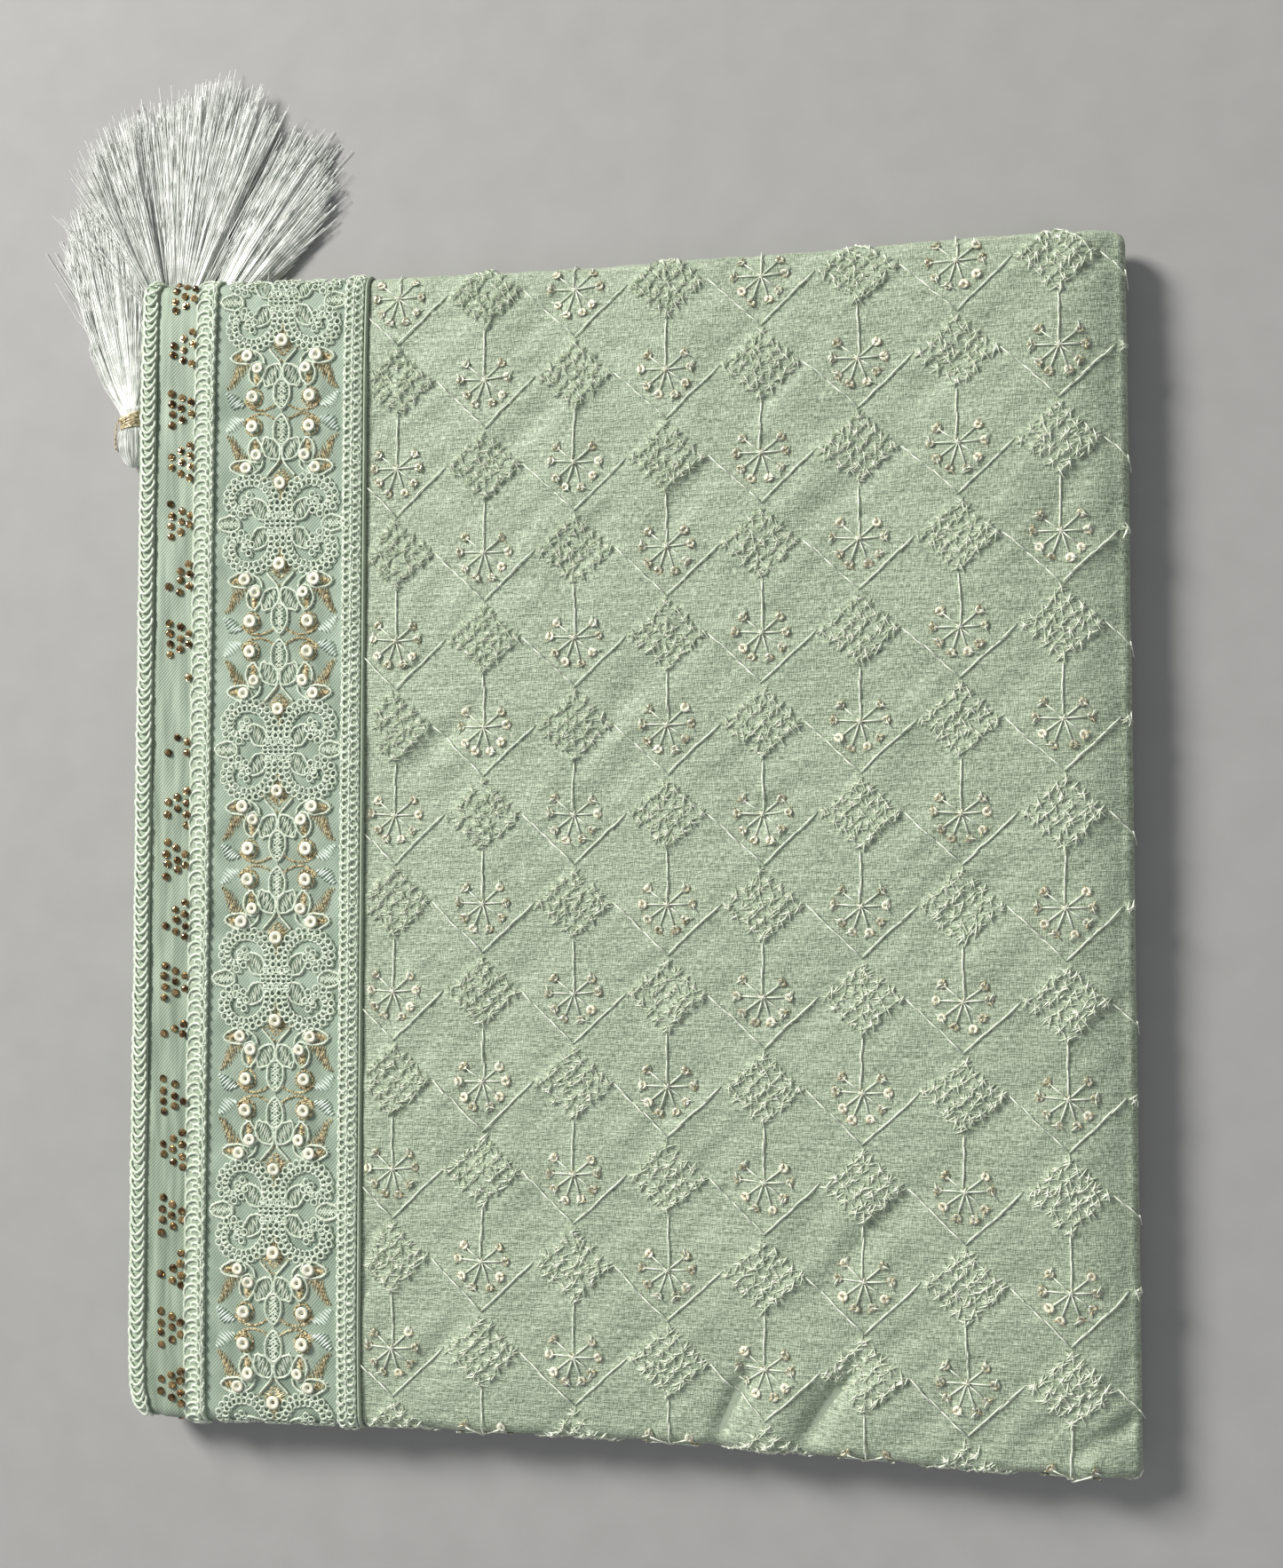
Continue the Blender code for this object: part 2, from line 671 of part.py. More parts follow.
def binding(name, facts):
    """The gold thread wound round a tassel's neck: a short ring just clear of it."""
    root = Vector((*facts["root"], facts["height"]))
    tail = Vector((*facts["tail"], facts["height"]))
    run = (root - tail).normalized()
    side = Vector((-run.y, run.x, 0))
    middle = root.lerp(tail, 0.235)
    inner_wide = HEAD_HALF * NECK_SHARE + SEAM_GAP
    inner_tall = HEAD_RISE * NECK_SHARE + SEAM_GAP
    half = BINDING_LENGTH * 0.42
    section = ((-half, 0.0), (-half, 0.0003), (0.0, 0.0005), (half, 0.0003), (half, 0.0))
    sides = 14
    points, faces = [], []
    for i in range(sides):
        angle = math.tau * i / sides
        for along, out in section:
            wide = (inner_wide + out) / math.cos(math.pi / sides)
            tall = (inner_tall + out) / math.cos(math.pi / sides)
            offset = side * wide * math.cos(angle) + Vector((0, 0, tall * math.sin(angle)))
            points.append(middle + run * along + offset)
    count = len(section)
    for i in range(sides):
        for k in range(count):
            near, far = i * count, ((i + 1) % sides) * count
            m = (k + 1) % count
            faces.append((near + k, near + m, far + m, far + k))
    made = shaped(name, points, faces, GOLD, roughness=0.35, metallic=0.8)
    facing_out(made)
    return made


def cleared():
    """Removes what the scene starts with."""
    for old in list(bpy.data.objects):
        bpy.data.objects.remove(old)


cleared()
LOZENGES = lozenges()
half_seam = SEAM_GAP / 2

open_pocket(hidden_stack())
panel(
    "body_cloth", BODY_SEAM + half_seam, LAST_ACROSS, 0.0130,
    lozenge_points() + crease_points(), in_lozenge, (BESIDE_PIPING,), SAGE,
)
panel(
    "border_band", BAND_SEAM + half_seam, BODY_SEAM - half_seam, 0.0150,
    medallion_points(), lambda across, along: abs(along) < RAISED_END, BESIDE_BRAIDS, MINT,
)
panel("stone_edging", EDGE_AT, BAND_SEAM - half_seam, 0.0130, [], lambda across, along: False, (), MINT)
braid("outer_braid", *OUTER_BRAID, BRAID_HEIGHT, CORD)
braid("middle_braid", *MIDDLE_BRAID, BRAID_HEIGHT, CORD)
braid("inner_braid", *INNER_BRAID, BRAID_HEIGHT, CORD)
braid("piping", PIPING_AT - PIPING_RADIUS, PIPING_AT + PIPING_RADIUS, 2 * PIPING_RADIUS, SAGE, arch=3)
for tassel_name, tassel_facts in TASSELS.items():
    tassel(tassel_name, tassel_facts)
    binding(tassel_name.replace("tassel", "binding"), tassel_facts)
for part in bpy.context.scene.objects:
    if part.type == "MESH" and not part.hide_render and not part.name.startswith(("tassel", "binding")):
        facing_out(part)
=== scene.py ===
"""Embroidered dupatta stole, folded and laid flat on a table: the finish of every surface.

The packet lies as its frame does: +X to the right, +Y to the back, +Z up, in metres, with the
origin in the middle of its underside. Places on the cloth are (across, along), measured on the
cloth itself, so they run on round the folds.
"""

import math
import random
from functools import partialmethod

import bpy
from mathutils import Matrix, Vector, noise


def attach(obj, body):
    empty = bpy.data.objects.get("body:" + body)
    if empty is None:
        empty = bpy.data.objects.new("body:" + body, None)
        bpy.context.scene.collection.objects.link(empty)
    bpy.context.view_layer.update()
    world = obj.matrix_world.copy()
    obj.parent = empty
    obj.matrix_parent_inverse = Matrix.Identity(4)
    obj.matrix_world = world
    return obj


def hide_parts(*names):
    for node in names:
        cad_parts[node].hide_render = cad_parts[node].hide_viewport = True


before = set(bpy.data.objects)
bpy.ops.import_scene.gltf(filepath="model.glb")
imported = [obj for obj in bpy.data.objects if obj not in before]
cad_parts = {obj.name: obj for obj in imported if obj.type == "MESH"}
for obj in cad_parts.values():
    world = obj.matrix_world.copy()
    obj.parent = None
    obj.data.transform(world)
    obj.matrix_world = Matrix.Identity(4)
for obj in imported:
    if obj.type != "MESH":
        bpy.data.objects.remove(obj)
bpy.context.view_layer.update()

# The view
# The camera looks down on the packet from right of its middle, tilted a little to the left.
# The table is plain and pale, and the light is a soft window at the back left with a weak fill.
CAMERA_AT = (0.1089, 0.0010, 0.495)
CAMERA_TURN = (11.21, 2.26, -0.04)
LENS = 32.62
LIGHTS = {
    # name: (place, size, power in watts, colour)
    "window": ((-1.98, 1.52, 1.58), 0.80, 124.0, (1.0, 0.985, 0.955)),
    "bounce": ((0.30, -0.80, 1.30), 1.10, 3.0, (0.96, 0.98, 1.0)),
}
ROOM_COLOUR, ROOM_STRENGTH = (0.93, 0.96, 1.0, 1), 0.24
TABLE_HALF, TABLE_DROP = 3.0, 0.0001


def placed(name, data):
    """A new object of the scene."""
    made = bpy.data.objects.new(name, data)
    bpy.context.scene.collection.objects.link(made)
    return made


about_y, about_x, about_z = (math.radians(angle) for angle in CAMERA_TURN)
camera_turn = Matrix.Rotation(about_y, 4, "Y") @ Matrix.Rotation(about_x, 4, "X")
camera_turn = camera_turn @ Matrix.Rotation(about_z, 4, "Z")
camera = placed("camera", bpy.data.cameras.new("camera"))
camera.matrix_world = Matrix.Translation(CAMERA_AT) @ camera_turn
camera.data.lens = LENS
camera.data.clip_start = 0.01
bpy.context.scene.camera = camera
for light_name, (spot, size, power, colour) in LIGHTS.items():
    light = placed(light_name, bpy.data.lights.new(light_name, "AREA"))
    light.data.size = size
    light.data.energy = power
    light.data.color = colour
    light.location = spot
    light.rotation_euler = (-Vector(spot)).to_track_quat("-Z", "Y").to_euler()
world = bpy.data.worlds.new("room")
world.use_nodes = True
world.node_tree.nodes["Background"].inputs["Color"].default_value = ROOM_COLOUR
world.node_tree.nodes["Background"].inputs["Strength"].default_value = ROOM_STRENGTH
bpy.context.scene.world = world
bpy.context.scene.view_settings.view_transform = "Standard"


class Shade:
    """A value that changes over a surface, written as arithmetic: each operator adds one Math node."""

    def __init__(self, tree, socket):
        self.tree = tree
        self.socket = socket

    def worked(self, operation, other, swapped=False):
        made = self.tree.nodes.new("ShaderNodeMath")
        made.operation = operation
        terms = (other, self) if swapped else (self, other)
        for term, socket in zip(terms, made.inputs):
            if isinstance(term, Shade):
                self.tree.links.new(term.socket, socket)
            else:
                socket.default_value = term
        return Shade(self.tree, made.outputs[0])

    __add__ = __radd__ = partialmethod(worked, "ADD")
    __sub__ = partialmethod(worked, "SUBTRACT")
    __rsub__ = partialmethod(worked, "SUBTRACT", swapped=True)
    __mul__ = __rmul__ = partialmethod(worked, "MULTIPLY")
    at_least = partialmethod(worked, "MAXIMUM")
    at_most = partialmethod(worked, "MINIMUM")


class Finish:
    """One material of the dupatta: fixed numbers sit on its shader's own sockets."""

    def __init__(self, name, colour, **fixed):
        self.material = bpy.data.materials.new(name)
        self.material.use_nodes = True
        self.tree = self.material.node_tree
        self.shader = self.tree.nodes["Principled BSDF"]
        self.shader.inputs["Base Color"].default_value = (*colour, 1)
        for name, value in fixed.items():
            self.shader.inputs[name.replace("_", " ")].default_value = value

    def node(self, kind, settings, sockets, out=0):
        """Adds one node: its settings first, then its sockets' values or links."""
        made = self.tree.nodes.new("ShaderNode" + kind)
        for name, value in settings.items():
            setattr(made, name, value)
        for name, value in sockets.items():
            self.feed(value, made.inputs[name])
        return Shade(self.tree, made.outputs[out])

    def feed(self, value, socket):
        if isinstance(value, Shade):
            self.tree.links.new(value.socket, socket)
        else:
            socket.default_value = value

    def drawn(self, scale, cloth=True):
        """Coordinates to draw a pattern on: the cloth's own, or the object's, each times a scale."""
        if cloth:
            source = self.node("UVMap", {"uv_map": "cloth"}, {})
        else:
            source = self.node("TexCoord", {}, {}, out="Object")
        return self.node("Mapping", {}, {"Vector": source, "Scale": scale})

    def cloudy(self, scale, cloth=True, detail=2.0):
        """A soft random pattern, about 0.2 to 0.8; its scale is one number or one each way."""
        scale = scale if isinstance(scale, tuple) else (scale, scale, scale)
        sockets = {"Vector": self.drawn(scale, cloth), "Scale": 1.0, "Detail": detail}
        return self.node("TexNoise", {}, sockets)

    def sharper(self, scale, start, gain, cloth=True, detail=2.0):
        """That pattern with more contrast: 0 up to a start, then rising by a gain up to 1."""
        return ((self.cloudy(scale, cloth, detail) - start) * gain).at_least(0.0).at_most(1.0)

    def blend(self, share, first, second):
        """A colour between two colours."""
        made = self.tree.nodes.new("ShaderNodeMix")
        made.data_type = "RGBA"
        for value, socket in ((share, 0), (first, 6), (second, 7)):
            if isinstance(value, tuple):
                value = (*value, 1)
            self.feed(value, made.inputs[socket])
        return Shade(self.tree, made.outputs[2])

    def set(self, socket, value):
        self.feed(value, self.shader.inputs[socket])

    def mottled(self, scale, dark, light, start=0.0, gain=1.0, detail=2.0):
        """Colours it between two tones by a random pattern in the object's own space."""
        share = self.sharper(scale, start, gain, cloth=False, detail=detail)
        self.set("Base Color", self.blend(share, dark, light))

    def bumps(self, height, distance, strength=1.0):
        """Fine relief by a height pattern."""
        sockets = {"Height": height, "Distance": distance, "Strength": strength}
        self.set("Normal", self.node("Bump", {}, sockets))


table_top = Finish("table_top", (0.385, 0.38, 0.37), Roughness=0.8)
table_top.mottled(60, (0.355, 0.35, 0.34), (0.415, 0.41, 0.40), detail=6.0)
table_mesh = bpy.data.meshes.new("table")
table_signs = ((-1, -1), (1, -1), (1, 1), (-1, 1))
table_corners = [(x * TABLE_HALF, y * TABLE_HALF, -TABLE_DROP) for x, y in table_signs]
table_mesh.from_pydata(table_corners, [], [(0, 1, 2, 3)])
table_mesh.materials.append(table_top.material)
table = placed("table", table_mesh)

# How the packet is folded
# The silk is folded in three across and six along, and the top layer turns down over the folds
# at the back, the front and the right. These are the solids' own sizes and formulas.
WIDTH, LENGTH, STACK, WALL = 0.352, 0.405, 0.018, 0.0016
RIGHT_SLOPE, RIGHT_ROLL, RIGHT_RUN = 0.10, 0.26, 0.050
LEFT_LOSS, LEFT_RUN = 0.14, 0.040
END_LOSS, END_RUN = 0.10, 0.045
END_RADIUS, END_TURN = 0.0042, math.radians(146)
SIDE_RADIUS, SIDE_TURN = 0.0024, math.radians(110)
FLARE, FLARE_FROM, SOFT_CORNER = 0.0072, 0.040, 0.014
END_MIDDLE_RADIUS = END_RADIUS + WALL
SIDE_MIDDLE_RADIUS = SIDE_RADIUS + WALL
FLAT_END = LENGTH / 2 - WALL - END_RADIUS
FLAT_SIDE = WIDTH / 2 - WALL - SIDE_RADIUS
LAST_ALONG = FLAT_END + END_MIDDLE_RADIUS * END_TURN
LAST_ACROSS = FLAT_SIDE + SIDE_MIDDLE_RADIUS * SIDE_TURN
EDGE_AT, BAND_SEAM, BODY_SEAM, SEAM_GAP = -0.1745, -0.1490, -0.0885, 0.0003


def smooth(share):
    """A soft step from 0 to 1."""
    share = min(1.0, max(0.0, share))
    return share * share * (3 - 2 * share)


def evenly(low, high, step):
    """Values from low to high, about step apart, both ends included."""
    count = max(1, round((high - low) / step))
    return [low + (high - low) * i / count for i in range(count + 1)]


def stack_height(across, along):
    """How high the hidden layers reach under a place on the top layer."""
    right = max(0.0, min(1.0, (across - (WIDTH / 2 - RIGHT_RUN)) / RIGHT_RUN))
    left = max(0.0, min(1.0, (-across - (WIDTH / 2 - LEFT_RUN)) / LEFT_RUN))
    end = max(0.0, (min(abs(along), FLAT_END) - (LENGTH / 2 - END_RUN)) / END_RUN)
    share = 1 - RIGHT_SLOPE * right**2 - RIGHT_ROLL * right**6 - LEFT_LOSS * left**2
    return STACK * share * (1 - END_LOSS * end**2)


def laid_out(x, y, z):
    """The packet's real outline: longer at the left, with one corner rounded by the thick braid."""
    longer = FLARE * (max(0.0, FLARE_FROM - x) / (FLARE_FROM + WIDTH / 2)) ** 2
    y *= 1 + longer / (LENGTH / 2)
    left = (SOFT_CORNER - (x + WIDTH / 2)) / SOFT_CORNER
    front = (SOFT_CORNER - (y + LENGTH / 2 + FLARE)) / SOFT_CORNER
    pull = 0.26 * SOFT_CORNER * max(0.0, min(left, 1.2)) * max(0.0, min(front, 1.2))
    return Vector((x + pull, y + pull, z))


def folded(across, along, height):
    """Where a point of the top layer lies, turned down over the side fold and the end folds."""
    x, out = across, height
    if across > FLAT_SIDE:
        turn = (across - FLAT_SIDE) / SIDE_MIDDLE_RADIUS
        x = FLAT_SIDE + (SIDE_RADIUS + height) * math.sin(turn)
        out = (SIDE_RADIUS + height) * math.cos(turn) - SIDE_RADIUS
    top = stack_height(min(across, FLAT_SIDE), along)
    if abs(along) <= FLAT_END:
        return laid_out(x, along, top + out)
    turn = (abs(along) - FLAT_END) / END_MIDDLE_RADIUS
    y = FLAT_END + (END_RADIUS + out) * math.sin(turn)
    z = top - END_RADIUS + (END_RADIUS + out) * math.cos(turn)
    return laid_out(x, math.copysign(y, along), z)


# Where the silk lies: soft creases pulled by the embroidery
# Each crease is listed: its middle, length, turn from across in degrees, width and
# depth. A negative depth is a ridge. The two long ones at the front are drawn into the fold.
CREASES = (
    # across, along, length, turn, width, depth
    (-0.0300, 0.1420, 0.046, 38, 0.0050, 0.0007),
    (0.0150, 0.0560, 0.050, 42, 0.0055, 0.0006),
    (0.0880, 0.1200, 0.048, 35, 0.0050, 0.0006),
    (-0.0260, -0.0420, 0.050, 44, 0.0055, 0.0007),
    (0.0740, -0.0560, 0.052, 40, 0.0055, 0.0006),
    (0.0080, -0.1270, 0.046, 46, 0.0050, 0.0007),
    (-0.0560, 0.0900, 0.036, 50, 0.0045, 0.0006),
    (0.0500, 0.1720, 0.040, 40, 0.0050, 0.0006),
    (0.1360, 0.0500, 0.050, 46, 0.0060, 0.0006),
    (0.1300, -0.0900, 0.046, 42, 0.0055, 0.0006),
    (0.0445, -0.1880, 0.036, 65, 0.0032, 0.0026),
    (0.0770, -0.1840, 0.046, 57, 0.0034, 0.0028),
    (0.0620, -0.1850, 0.040, 58, 0.0060, -0.0015),
    (0.1080, -0.1560, 0.050, 38, 0.0045, 0.0009),
    (0.1480, -0.1850, 0.034, 40, 0.0040, 0.0011),
    (0.1660, -0.1880, 0.028, 34, 0.0028, 0.0020),
    (0.1600, -0.1960, 0.024, 58, 0.0024, -0.0012),
    (-0.0560, -0.1720, 0.036, 58, 0.0040, 0.0009),
    (-0.0100, -0.1960, 0.024, 70, 0.0036, 0.0009),
    (0.1180, 0.1560, 0.044, 40, 0.0040, 0.0010),
    (0.0300, 0.1180, 0.040, 48, 0.0042, 0.0009),
    (-0.0600, 0.0320, 0.034, 44, 0.0040, 0.0008),
    (0.0560, 0.0100, 0.042, 38, 0.0042, 0.0009),
    (0.1240, -0.0200, 0.046, 44, 0.0046, 0.0009),
    (-0.0420, -0.1040, 0.036, 48, 0.0040, 0.0009),
    (0.0280, -0.0860, 0.034, 42, 0.0040, 0.0008),
    (0.0950, -0.1250, 0.044, 44, 0.0042, 0.0010),
    (0.1540, 0.1120, 0.036, 52, 0.0042, 0.0009),
)
PITCH_ACROSS, PITCH_ALONG = 0.03254, 0.03058
LATTICE_ACROSS, LATTICE_ALONG = -0.0742, 0.1932
LOZENGE_WIDE, LOZENGE_TALL = 0.0140, 0.0130
CREASE_LEAN = math.radians(43)
BROAD_LIFT, PUCKER_LIFT, SMALL_LIFT = 0.00065, 0.00100, 0.00024
LOZENGE_LIFT, LOZENGE_MOAT = 0.00030, 0.00018
BAND_LIFT, WRINKLE_LIFT, WAVE_LIFT = 0.0004, 0.00052, 0.00028


def lattice(odd):
    """The lattice's crossings of one kind, as (across, along): lozenges are odd, sprays even."""
    found = []
    for column in range(-1, 9):
        for row in range(-1, 15):
            if (column + row) % 2 == odd:
                across = LATTICE_ACROSS + column * PITCH_ACROSS
                found.append((across, LATTICE_ALONG - row * PITCH_ALONG))
    return found


LOZENGES = lattice(1)


def creased(across, along):
    """The body silk's soft unevenness: slanting puckers, a broad swell and the creases above."""
    run = across * math.cos(CREASE_LEAN) + along * math.sin(CREASE_LEAN)
    over = along * math.cos(CREASE_LEAN) - across * math.sin(CREASE_LEAN)
    broad = noise.noise((across / 0.055, along / 0.055, 5.0))
    where = 0.3 + 0.7 * smooth(0.5 + 1.4 * noise.noise((across / 0.045, along / 0.045, 11.0)))
    pucker = noise.noise((run / 0.040, (over + 0.005 * broad) / 0.0085, 7.0))
    small = noise.noise((run / 0.016, over / 0.0040, 1.0))
    lift = BROAD_LIFT * broad + PUCKER_LIFT * pucker * where + SMALL_LIFT * small
    for at_across, at_along, length, turn, width, depth in CREASES:
        x, y = across - at_across, along - at_along
        if x * x + y * y < length * length:
            lean = math.radians(turn)
            near = (x * math.cos(lean) + y * math.sin(lean)) / (length / 2)
            side = (y * math.cos(lean) - x * math.sin(lean)) / width
            lift -= depth * math.exp(-side * side) * smooth(1.35 - abs(near) * 1.1)
    for at_across, at_along in LOZENGES:
        away = abs(across - at_across) / LOZENGE_WIDE + abs(along - at_along) / LOZENGE_TALL
        if away < 1.5:
            raised = LOZENGE_LIFT * (1 - smooth((away - 0.8) / 0.3))
            lift += raised - LOZENGE_MOAT * smooth(1 - abs(away - 1.15) / 0.3)
    return lift


def top_height(across, along):
    """How high the top layer's outer face stands above the hidden stack."""
    calm = smooth((LAST_ALONG - abs(along)) / 0.010)
    if across > BODY_SEAM:
        calm *= smooth((across - BODY_SEAM) / 0.007) * smooth((LAST_ACROSS - across) / 0.008)
        return WALL + calm * creased(across, along)
    if across > BAND_SEAM:
        calm *= smooth((across - BAND_SEAM) / 0.006) * smooth((BODY_SEAM - across) / 0.006)
        return WALL + calm * BAND_LIFT * noise.noise((across / 0.012, along / 0.016, 2.0))
    lengthwise = noise.noise((across / 0.0030, along / 0.034, 8.0))
    waves = noise.noise((across / 0.010, along / 0.014, 4.0))
    return WALL + calm * (WRINKLE_LIFT * lengthwise + WAVE_LIFT * waves)


def on_top(across, along, lift=0.0):
    """A place on the finished cloth, lifted off it by a little."""
    return folded(across, along, top_height(across, along) + lift)


# The body cloth
# Sage slub silk, light and lustrous, with uneven threads that run across the stole. One thin
# shell is the top layer, hemmed out of sight, and turns down over the folds.
SILK_LIGHT, SILK_DARK = (0.660, 0.755, 0.565), (0.185, 0.235, 0.155)
SILK_THICK = 0.0007
FINE_STEP, FOLD_STEP = 0.0019, 0.0009


def fine_rows():
    """The rows that the fine shells share, closer together on the end folds."""
    fold = evenly(FLAT_END, LAST_ALONG, FOLD_STEP)[1:]
    return [-value for value in reversed(fold)] + evenly(-FLAT_END, FLAT_END, FINE_STEP) + fold


FINE_ROWS = fine_rows()


def meshed(name, points, faces, finish, cloth_places=None):
    """A smooth mesh object at the origin, with its cloth places as its UV map where it has them."""
    mesh = bpy.data.meshes.new(name)
    mesh.from_pydata(points, [], faces)
    mesh.shade_smooth()
    if cloth_places:
        layer = mesh.uv_layers.new(name="cloth")
        flat = [value for loop in mesh.loops for value in cloth_places[loop.vertex_index]]
        layer.data.foreach_set("uv", flat)
    mesh.materials.append(finish.material)
    return placed(name, mesh)


def handed_in(piece, slot, *nodes):
    """Every piece rides on the one body and may stand for solids; the slot it is given is not used."""
    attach(piece, "root")
    if nodes:
        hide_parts(*nodes)
    return piece


def shell(name, low, high, finish):
    """A panel of the top layer as a thin closed shell, with its places on the cloth as UV."""
    columns = evenly(low, min(high, FLAT_SIDE), FINE_STEP)
    if high > FLAT_SIDE:
        columns += evenly(FLAT_SIDE, high, FOLD_STEP)[1:]
    places = [(across, along) for along in FINE_ROWS for across in columns]
    heights = [top_height(*place) for place in places]
    points = [folded(*place, height) for place, height in zip(places, heights)]
    points += [folded(*place, height - SILK_THICK) for place, height in zip(places, heights)]
    wide, tall, under = len(columns), len(FINE_ROWS), len(places)
    faces = []
    for row in range(tall - 1):
        for column in range(wide - 1):
            a = row * wide + column
            quad = (a, a + 1, a + wide + 1, a + wide)
            faces.append(quad)
            faces.append(tuple(under + i for i in reversed(quad)))
    ring = list(range(wide)) + [row * wide + wide - 1 for row in range(1, tall)]
    ring += [(tall - 1) * wide + i for i in range(wide - 2, -1, -1)]
    ring += [row * wide for row in range(tall - 2, 0, -1)]
    for i, a in enumerate(ring):
        b = ring[(i + 1) % len(ring)]
        faces.append((a, a + under, b + under, b))
    return meshed(name, points, faces, finish, places + places)


silk = Finish("sage_silk", SILK_LIGHT, Roughness=0.50, Sheen_Weight=0.2, Sheen_Roughness=0.4)
slub_share = silk.sharper((60, 950, 1), 0.38, 3.6)
thread_share = silk.sharper((500, 2500, 1), 0.34, 2.9, detail=1.0)
warp_share = silk.sharper((2300, 440, 1), 0.34, 2.9, detail=1.0)
mottle = silk.cloudy((38, 38, 1), detail=3.0)
weave_share = slub_share * 0.27 + thread_share * 0.60 + warp_share * 0.44 + mottle * 0.24 - 0.245
weave_share = weave_share.at_least(0.0).at_most(1.0)
silk.set("Base Color", silk.blend(weave_share, SILK_DARK, SILK_LIGHT))
silk.set("Roughness", 0.62 - weave_share * 0.2)
silk.bumps(slub_share * 0.8 + thread_share * 0.9 + warp_share * 0.6, 0.00020, 0.8)
body = shell("body_silk", BODY_SEAM + SEAM_GAP / 2, LAST_ACROSS, silk)
handed_in(body, "silk_cloth", "body_cloth")

# The band's ground
# Mint net laid over silk with a fine slanting twill, quilted down by the cords sewn on it.
# The dark tone serves both the twill and the painted fold shade.
NET_LIGHT, NET_DARK = (0.460, 0.565, 0.445), (0.180, 0.245, 0.180)
NET_SLANT = math.radians(42)
NET_WAVES = (
    # which way its bands run, scale, distortion
    ("Y", 420.0, 0.7),
    ("X", 330.0, 0.9),
)


def netting(finish, light, dark, folds):
    """Gives a finish the net's weave, slanting rows of tiny meshes, and painted shade in soft blotches as of
    folds.
    """
    slanted = {"Vector": finish.drawn((1, 1, 1)), "Rotation": (0, 0, NET_SLANT)}
    slant = finish.node("Mapping", {}, slanted)
    waves = []
    for bands, scale, distortion in NET_WAVES:
        sockets = {"Vector": slant, "Scale": scale, "Distortion": distortion}
        waves.append(finish.node("TexWave", {"bands_direction": bands}, sockets))
    rows, mesh = waves
    # Painted shade: darker blotches in the colour, as where the cloth folds; folds gives their scale.
    painted_fold_shade = finish.cloudy(folds, detail=3.0)
    share = (rows * 0.44 + mesh * 0.28 + painted_fold_shade * 1.7 - 0.71).at_least(0.0).at_most(1.0)
    finish.set("Base Color", finish.blend(share, dark, light))
    finish.bumps(rows + mesh * 0.6, 0.00014, 0.7)


net = Finish("mint_net", NET_LIGHT, Roughness=0.62, Sheen_Weight=0.2)
# Its colour has painted shade in soft blotches, as of folds.
netting(net, NET_LIGHT, NET_DARK, (90, 60, 1))
band = shell("band_net", BAND_SEAM + SEAM_GAP / 2, BODY_SEAM - SEAM_GAP / 2, net)
handed_in(band, "net_ground", "border_band")

# The stone edging's cloth
# A narrow strip of finely woven cloth in a lighter mint, with soft lengthwise wrinkles.
# The dark tone serves both the twill and the painted shade along the wrinkles.
EDGING_LIGHT, EDGING_DARK = (0.450, 0.550, 0.415), (0.150, 0.210, 0.145)
satin = Finish("edging_cloth", EDGING_LIGHT, Roughness=0.5, Sheen_Weight=0.2)
# Its colour has painted shade in long lengthwise streaks, as along its wrinkles.
netting(satin, EDGING_LIGHT, EDGING_DARK, (300, 34, 1))
edging = shell("edging_satin", EDGE_AT, BAND_SEAM - SEAM_GAP / 2, satin)
handed_in(edging, "silk_cloth", "stone_edging")

# The layers folded under the top one
# One rounded pile whose sides show every fold, uneven as real folds are. The tassels' heads lie
# in a hollow at its back left corner.
CORNER, CORNER_STEPS, OUTLINE_STEP = 0.009, 8, 0.0042
SIDE_LEVELS = 46
CROWN_RINGS = (0.88, 0.62, 0.30)
NOSE_SHARE = 0.26
UNDER_GAP = 0.0008
SIDE_INSET, FOLD_DEPTH = 0.0010, 0.0016
POCKET = ((-0.1900, -0.1450), (0.1745, 0.2250), (-0.0010, 0.0072))
SIDE_FOLDS = {
    # side: (how many folds lie on each other, how unevenly they end)
    "left": (9, 0.0022),
    "right": (4, 0.0011),
    "front": (4, 0.0010),
    "back": (4, 0.0010),
}


def pile_side(side, share, top, here):
    """(inset, height) on one side of the pile, from its top edge at 0 to its foot at 1."""
    folds, uneven = SIDE_FOLDS[side]
    if side == "left":
        lower, height = share, top - UNDER_GAP
    else:
        radius = SIDE_RADIUS if side == "right" else END_RADIUS
        if share < NOSE_SHARE:
            turn = math.radians(170) * share / NOSE_SHARE
            inset = WALL + UNDER_GAP + radius - (radius - UNDER_GAP) * math.sin(turn)
            return inset, top - radius + (radius - UNDER_GAP) * math.cos(turn)
        lower, height = (share - NOSE_SHARE) / (1 - NOSE_SHARE), top - 2 * radius - WALL
    fold = min(folds - 1, int(lower * folds))
    bulge = math.sin(math.pi * min(1.0, max(0.0, lower * folds - fold))) ** 0.55
    slip = noise.noise((here.x / 0.060, here.y / 0.060, fold * 3.7)) * uneven
    slip += noise.noise((here.x / 0.012, here.y / 0.012, fold * 5.1)) * uneven * 0.25
    depth = min(FOLD_DEPTH, 0.5 * height / folds)
    inset = SIDE_INSET + uneven * 0.5 + slip + depth * (1 - bulge)
    return inset, max(0.0, height * (1 - lower))


